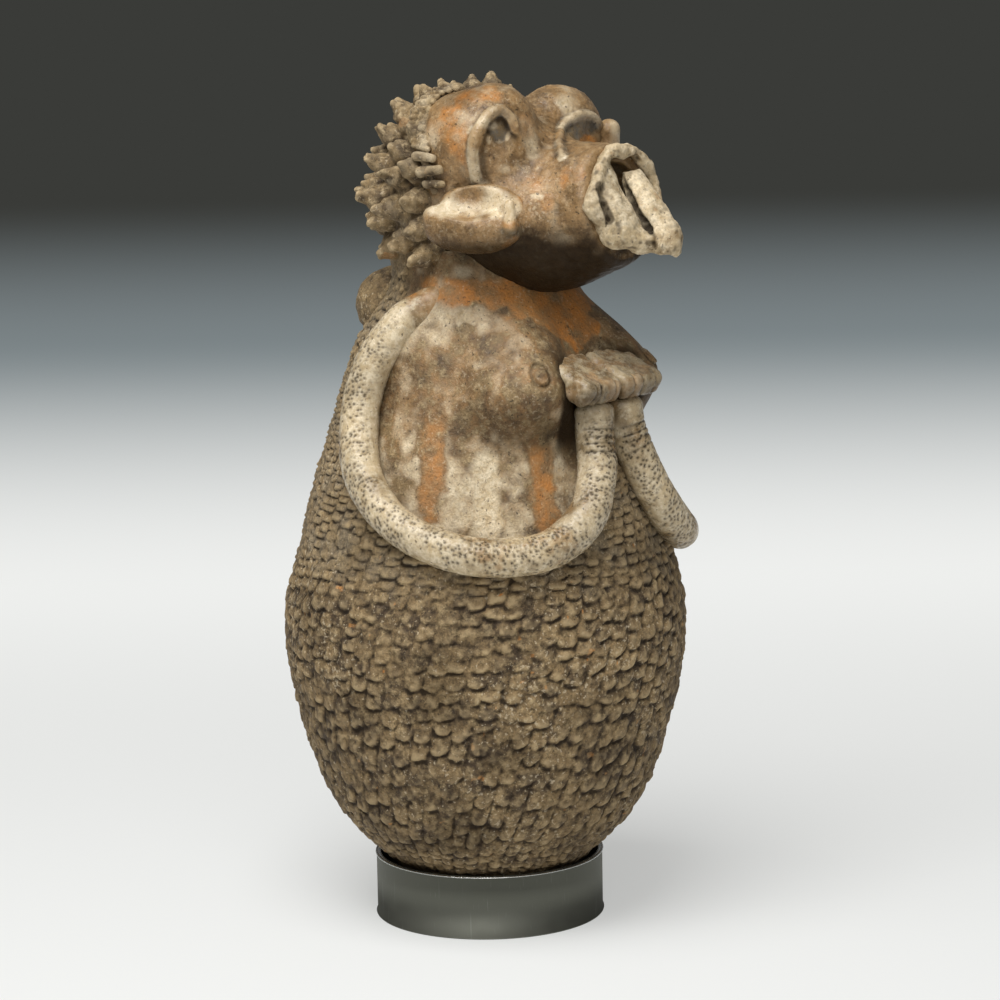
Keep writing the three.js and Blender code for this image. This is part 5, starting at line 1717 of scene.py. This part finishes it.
class VESSEL_OT_hands(Operator):
    """Models the ledge-like hands with their grooved fingers"""

    bl_idname = "vessel.hands"
    bl_label = "Hands"

    def execute(self, context):
        low, high = node_box("hand_right")
        droop = math.radians(26)
        turn = facing_axes((0, -math.cos(droop), -math.sin(droop)), (0, -math.sin(droop), math.cos(droop)))
        half = np.array([(high[0] - low[0]) / 2, 17, 7])
        middle = np.array([(low[0] + high[0]) / 2, low[1] + 17, low[2] + 19])
        heart, axes = np.float32(middle), np.float32(turn)
        for side in ("right", "left"):
            clay = ClayField(low - 12, high + 16, 0.75 * cell())
            clay.work(low, high + 6, 0, lambda p: self.slab((p - heart) @ axes, half, 4.6))
            for finger in range(3):
                chance = scatter(np.full(4, finger), np.arange(4), np.full(4, 121 + (side == "left")))
                x = (0.55 * finger - 0.55 + 0.3 * (chance[0] - 0.5)) * half[0]
                nick = [
                    (x - 2 * chance[2], 8 + 5 * chance[1], 8.6),
                    (x, 14.5, 7.4),
                    (x, 17.8, 1),
                    (x + 3 * chance[2], 16, -7),
                ]
                clay.roll(middle + np.array(nick) @ turn.T, 0.5 + 0.6 * chance[3], 1.5, cut=True)
            points, faces = clay.skin()
            points = roughened(points, faces, ((0.9, 9, 123), (0.5, 4, 124), (0.3, 2.2, 126)))
            blur = grain(points, 8, 125)
            marks = {
                "ochre": 0.32 + 0.4 * blur,
                "kaolin": np.clip(0.14 + 0.5 * blur, 0, 1) * ease(low[2] + 2, low[2] + 12, points[:, 2]),
                # Painted shade, darker towards the hand's lower edge
                "soot_and_shade": 0.22 + 0.34 * ease(low[2] + 21, low[2] + 10, points[:, 2]),
                "shine": np.full(len(points), 0.4),
                "crest": crests_of(points, faces, 0.5),
            }
            if side == "left":
                points, faces = mirrored(points, faces)
            name = "hand_" + side
            make_piece(name + "_clay", points, faces, [limb_clay()], "vessel", [name], marks)
        return {"FINISHED"}

    def slab(self, q, half, edge):
        """Distance to a block with rounded edges about the origin."""
        past = np.abs(q) - np.float32(half - edge)
        return np.linalg.norm(np.maximum(past, 0), axis=-1) + np.minimum(past.max(-1), 0) - np.float32(edge)


# Stand

RING_SIDES = 192  # points round the stand's ring


class VESSEL_OT_stand(Operator):
    """Turns the ring stand with its rubbed edges, and finishes the disc and felt inside it"""

    bl_idname = "vessel.stand"
    bl_label = "Ring stand"

    def execute(self, context):
        ring = node_points("stand_ring")
        radius = from_axis(ring)
        bore, outer, top = radius.min(), radius.max(), ring[:, 2].max()
        bevel = sizes().ring_bevel / MM
        corners = ((bore, 0), (outer, 0), (outer, top), (bore, top))
        middle = np.mean(corners, axis=0)
        profile, bright = [], []
        for number, corner in enumerate(corners):
            toward = np.sign(middle - np.array(corner))
            quarter = [np.array([math.cos(t), math.sin(t)]) for t in np.linspace(0, math.pi / 2, 4)]
            arc = [np.array(corner) + toward * bevel * (1 - way) for way in quarter]
            if number % 2 == 0:
                arc.reverse()
            profile += arc
            bright += [number >= 2] * len(arc)
        sides = RING_SIDES
        turn = np.linspace(0, 2 * np.pi, sides, endpoint=False)
        circle = np.stack([np.cos(turn), np.sin(turn), np.zeros(sides)], -1)
        rows = np.array([r * circle + np.array([0, 0, z]) for r, z in profile])
        points = rows.reshape(-1, 3)
        faces = outside_out(points, [lathe_faces(len(rows), sides, True)])
        shown = np.array(bright) & np.roll(bright, -1)
        looks = np.repeat(shown.astype(int), sides)
        steels = [blackened_steel(), bare_steel()]
        name = "stand_ring"
        make_piece(name + "_steel", points, faces, steels, "stand", [name], looks=looks)
        for name, material in (("stand_disc", stained_wood()), ("felt_pad", black_felt())):
            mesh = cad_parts[name].data
            mesh.materials.clear()
            mesh.materials.append(material)
        return {"FINISHED"}


# Stage


def softbox(name, place, aim, across, power):
    """A square area light that looks at a point. Places are in metres."""
    lamp = bpy.data.lights.new(name, "AREA")
    lamp.shape = "SQUARE"
    lamp.size = across
    lamp.energy = power
    box = bpy.data.objects.new(name, lamp)
    box.location = place
    box.rotation_euler = (Vector(aim) - Vector(place)).to_track_quat("-Z", "Y").to_euler()
    bpy.context.scene.collection.objects.link(box)


class VESSEL_OT_stage(Operator):
    """Sets the pale floor, the soft studio light and the camera"""

    bl_idname = "vessel.stage"
    bl_label = "Stage"

    def execute(self, context):
        self.floor()
        self.lights()
        self.camera()
        context.scene.view_settings.view_transform = "Standard"
        return {"FINISHED"}

    def floor(self):
        """A wide sheet of graded paper: pale where the vessel stands, dark far behind it."""
        half = 18.0  # metres
        corners = [(-half, -half, 0), (half, -half, 0), (half, half, 0), (-half, half, 0)]
        mesh = bpy.data.meshes.new("studio_floor")
        mesh.from_pydata(corners, [], [(0, 1, 2, 3)])
        sheet = bpy.data.objects.new("studio_floor", mesh)
        bpy.context.scene.collection.objects.link(sheet)
        shades = colours()
        material, tree = new_material("graded_paper")
        place = node(tree, "TexCoord", out="Object")
        turn = bpy.context.scene.vessel_studio.camera_turn
        ahead = {0: place, 1: (math.sin(turn), math.cos(turn), 0.0)}
        behind = node(tree, "VectorMath", ahead, "Value", operation="DOT_PRODUCT")
        colour = solid(shades.floor)
        for start, end, shade in ((0.9, 2.6, shades.backdrop), (2.0, 4.6, shades.backdrop_far)):
            far = {"Value": behind, "From Min": start, "From Max": end}
            share = node(tree, "MapRange", far, interpolation_type="SMOOTHSTEP")
            colour = node(tree, "Mix", {0: share, 6: colour, 7: solid(shade)}, 2, **RGBA)
        matt = {"Base Color": colour, "Roughness": 0.9, "Specular IOR Level": 0.1}
        paper = node(tree, "BsdfPrincipled", matt)
        glow = node(tree, "Emission", {"Color": colour, "Strength": 1.0})
        paths = tree.nodes.new("ShaderNodeLightPath").outputs
        seen = paths["Is Camera Ray"]
        for kind in ("Is Glossy Ray", "Is Transmission Ray"):
            seen = node(tree, "Math", {0: seen, 1: paths[kind]}, operation="MAXIMUM")
        lit = {"Value": behind, "From Min": 0.1, "From Max": 1.0, "To Min": 0.5}
        lit = node(tree, "MapRange", lit, interpolation_type="SMOOTHSTEP")
        share = node(tree, "Math", {0: lit, 1: seen}, operation="MULTIPLY")
        surface = node(tree, "MixShader", {0: share, 1: paper, 2: glow})
        node(tree, "OutputMaterial", {"Surface": surface})
        mesh.materials.append(material)

    def lights(self):
        """A large softbox overhead to the left, a weak front fill, and an even surround."""
        studio = bpy.context.scene.vessel_studio
        softbox("overhead_softbox", (-0.75, -0.2, 1.7), (0, 0, 0.25), 1.1, studio.key_power)
        softbox("front_fill", (-1.35, -1.35, 1.2), (0, 0, 0.25), 1.1, studio.fill_power)
        world = bpy.data.worlds.new("studio_surround")
        world.use_nodes = True
        tree = world.node_tree
        tree.nodes.clear()
        white = (1.0, 1.0, 1.0, 1.0)
        light = node(tree, "Background", {"Color": white, "Strength": studio.ambient})
        node(tree, "OutputWorld", {"Surface": light})
        bpy.context.scene.world = world

    def camera(self):
        """The photograph's viewing angle: round to the figure's right, above it, and far off."""
        studio = bpy.context.scene.vessel_studio
        lens = bpy.data.cameras.new("studio_camera")
        lens.lens = studio.camera_lens
        lens.sensor_width = 36.0
        lens.clip_end = 100.0
        eye = bpy.data.objects.new("studio_camera", lens)
        turn = -studio.camera_turn
        pan = Matrix.Rotation(turn - studio.camera_pan, 4, "Z")
        tip = Matrix.Rotation(math.pi / 2 - studio.camera_pitch, 4, "X")
        roll = Matrix.Rotation(-studio.camera_roll, 4, "Z")
        distance = studio.camera_distance
        place = Vector((distance * math.sin(turn), -distance * math.cos(turn), studio.camera_height))
        eye.matrix_world = Matrix.Translation(place) @ pan @ tip @ roll
        bpy.context.scene.collection.objects.link(eye)
        bpy.context.scene.camera = eye


class VESSEL_PT_workshop(Panel):
    """Lists the vessel's pieces, sizes and colours"""

    bl_label = "Figure vessel"
    bl_idname = "VESSEL_PT_workshop"
    bl_space_type = "VIEW_3D"
    bl_region_type = "UI"
    bl_category = "Vessel"

    def draw(self, context):
        for operator in OPERATORS:
            self.layout.operator(operator.bl_idname)
        for group in (context.scene.vessel_sizes, context.scene.vessel_colours, context.scene.vessel_studio):
            box = self.layout.box()
            for key in group.__annotations__:
                box.prop(group, key)


OPERATORS = (
    VESSEL_OT_stage,
    VESSEL_OT_stand,
    VESSEL_OT_pot,
    VESSEL_OT_face,
    VESSEL_OT_mouth,
    VESSEL_OT_ears,
    VESSEL_OT_hair,
    VESSEL_OT_arms,
    VESSEL_OT_hands,
)
CLASSES = (VesselSizes, SlipColours, StudioSettings, *OPERATORS, VESSEL_PT_workshop)


def register():
    """Registers the classes and hangs the settings on the scene."""
    for kind in CLASSES:
        bpy.utils.register_class(kind)
    bpy.types.Scene.vessel_sizes = PointerProperty(type=VesselSizes)
    bpy.types.Scene.vessel_colours = PointerProperty(type=SlipColours)
    bpy.types.Scene.vessel_studio = PointerProperty(type=StudioSettings)


def unregister():
    """Takes the settings and classes away again."""
    del bpy.types.Scene.vessel_studio
    del bpy.types.Scene.vessel_colours
    del bpy.types.Scene.vessel_sizes
    for kind in reversed(CLASSES):
        bpy.utils.unregister_class(kind)


def main():
    """Makes the scene."""
    register()
    bpy.ops.vessel.stage()
    bpy.ops.vessel.stand()
    bpy.ops.vessel.pot()
    bpy.ops.vessel.face()
    bpy.ops.vessel.mouth()
    bpy.ops.vessel.ears()
    bpy.ops.vessel.hair()
    bpy.ops.vessel.arms()
    bpy.ops.vessel.hands()


if __name__ == "__main__":
    main()
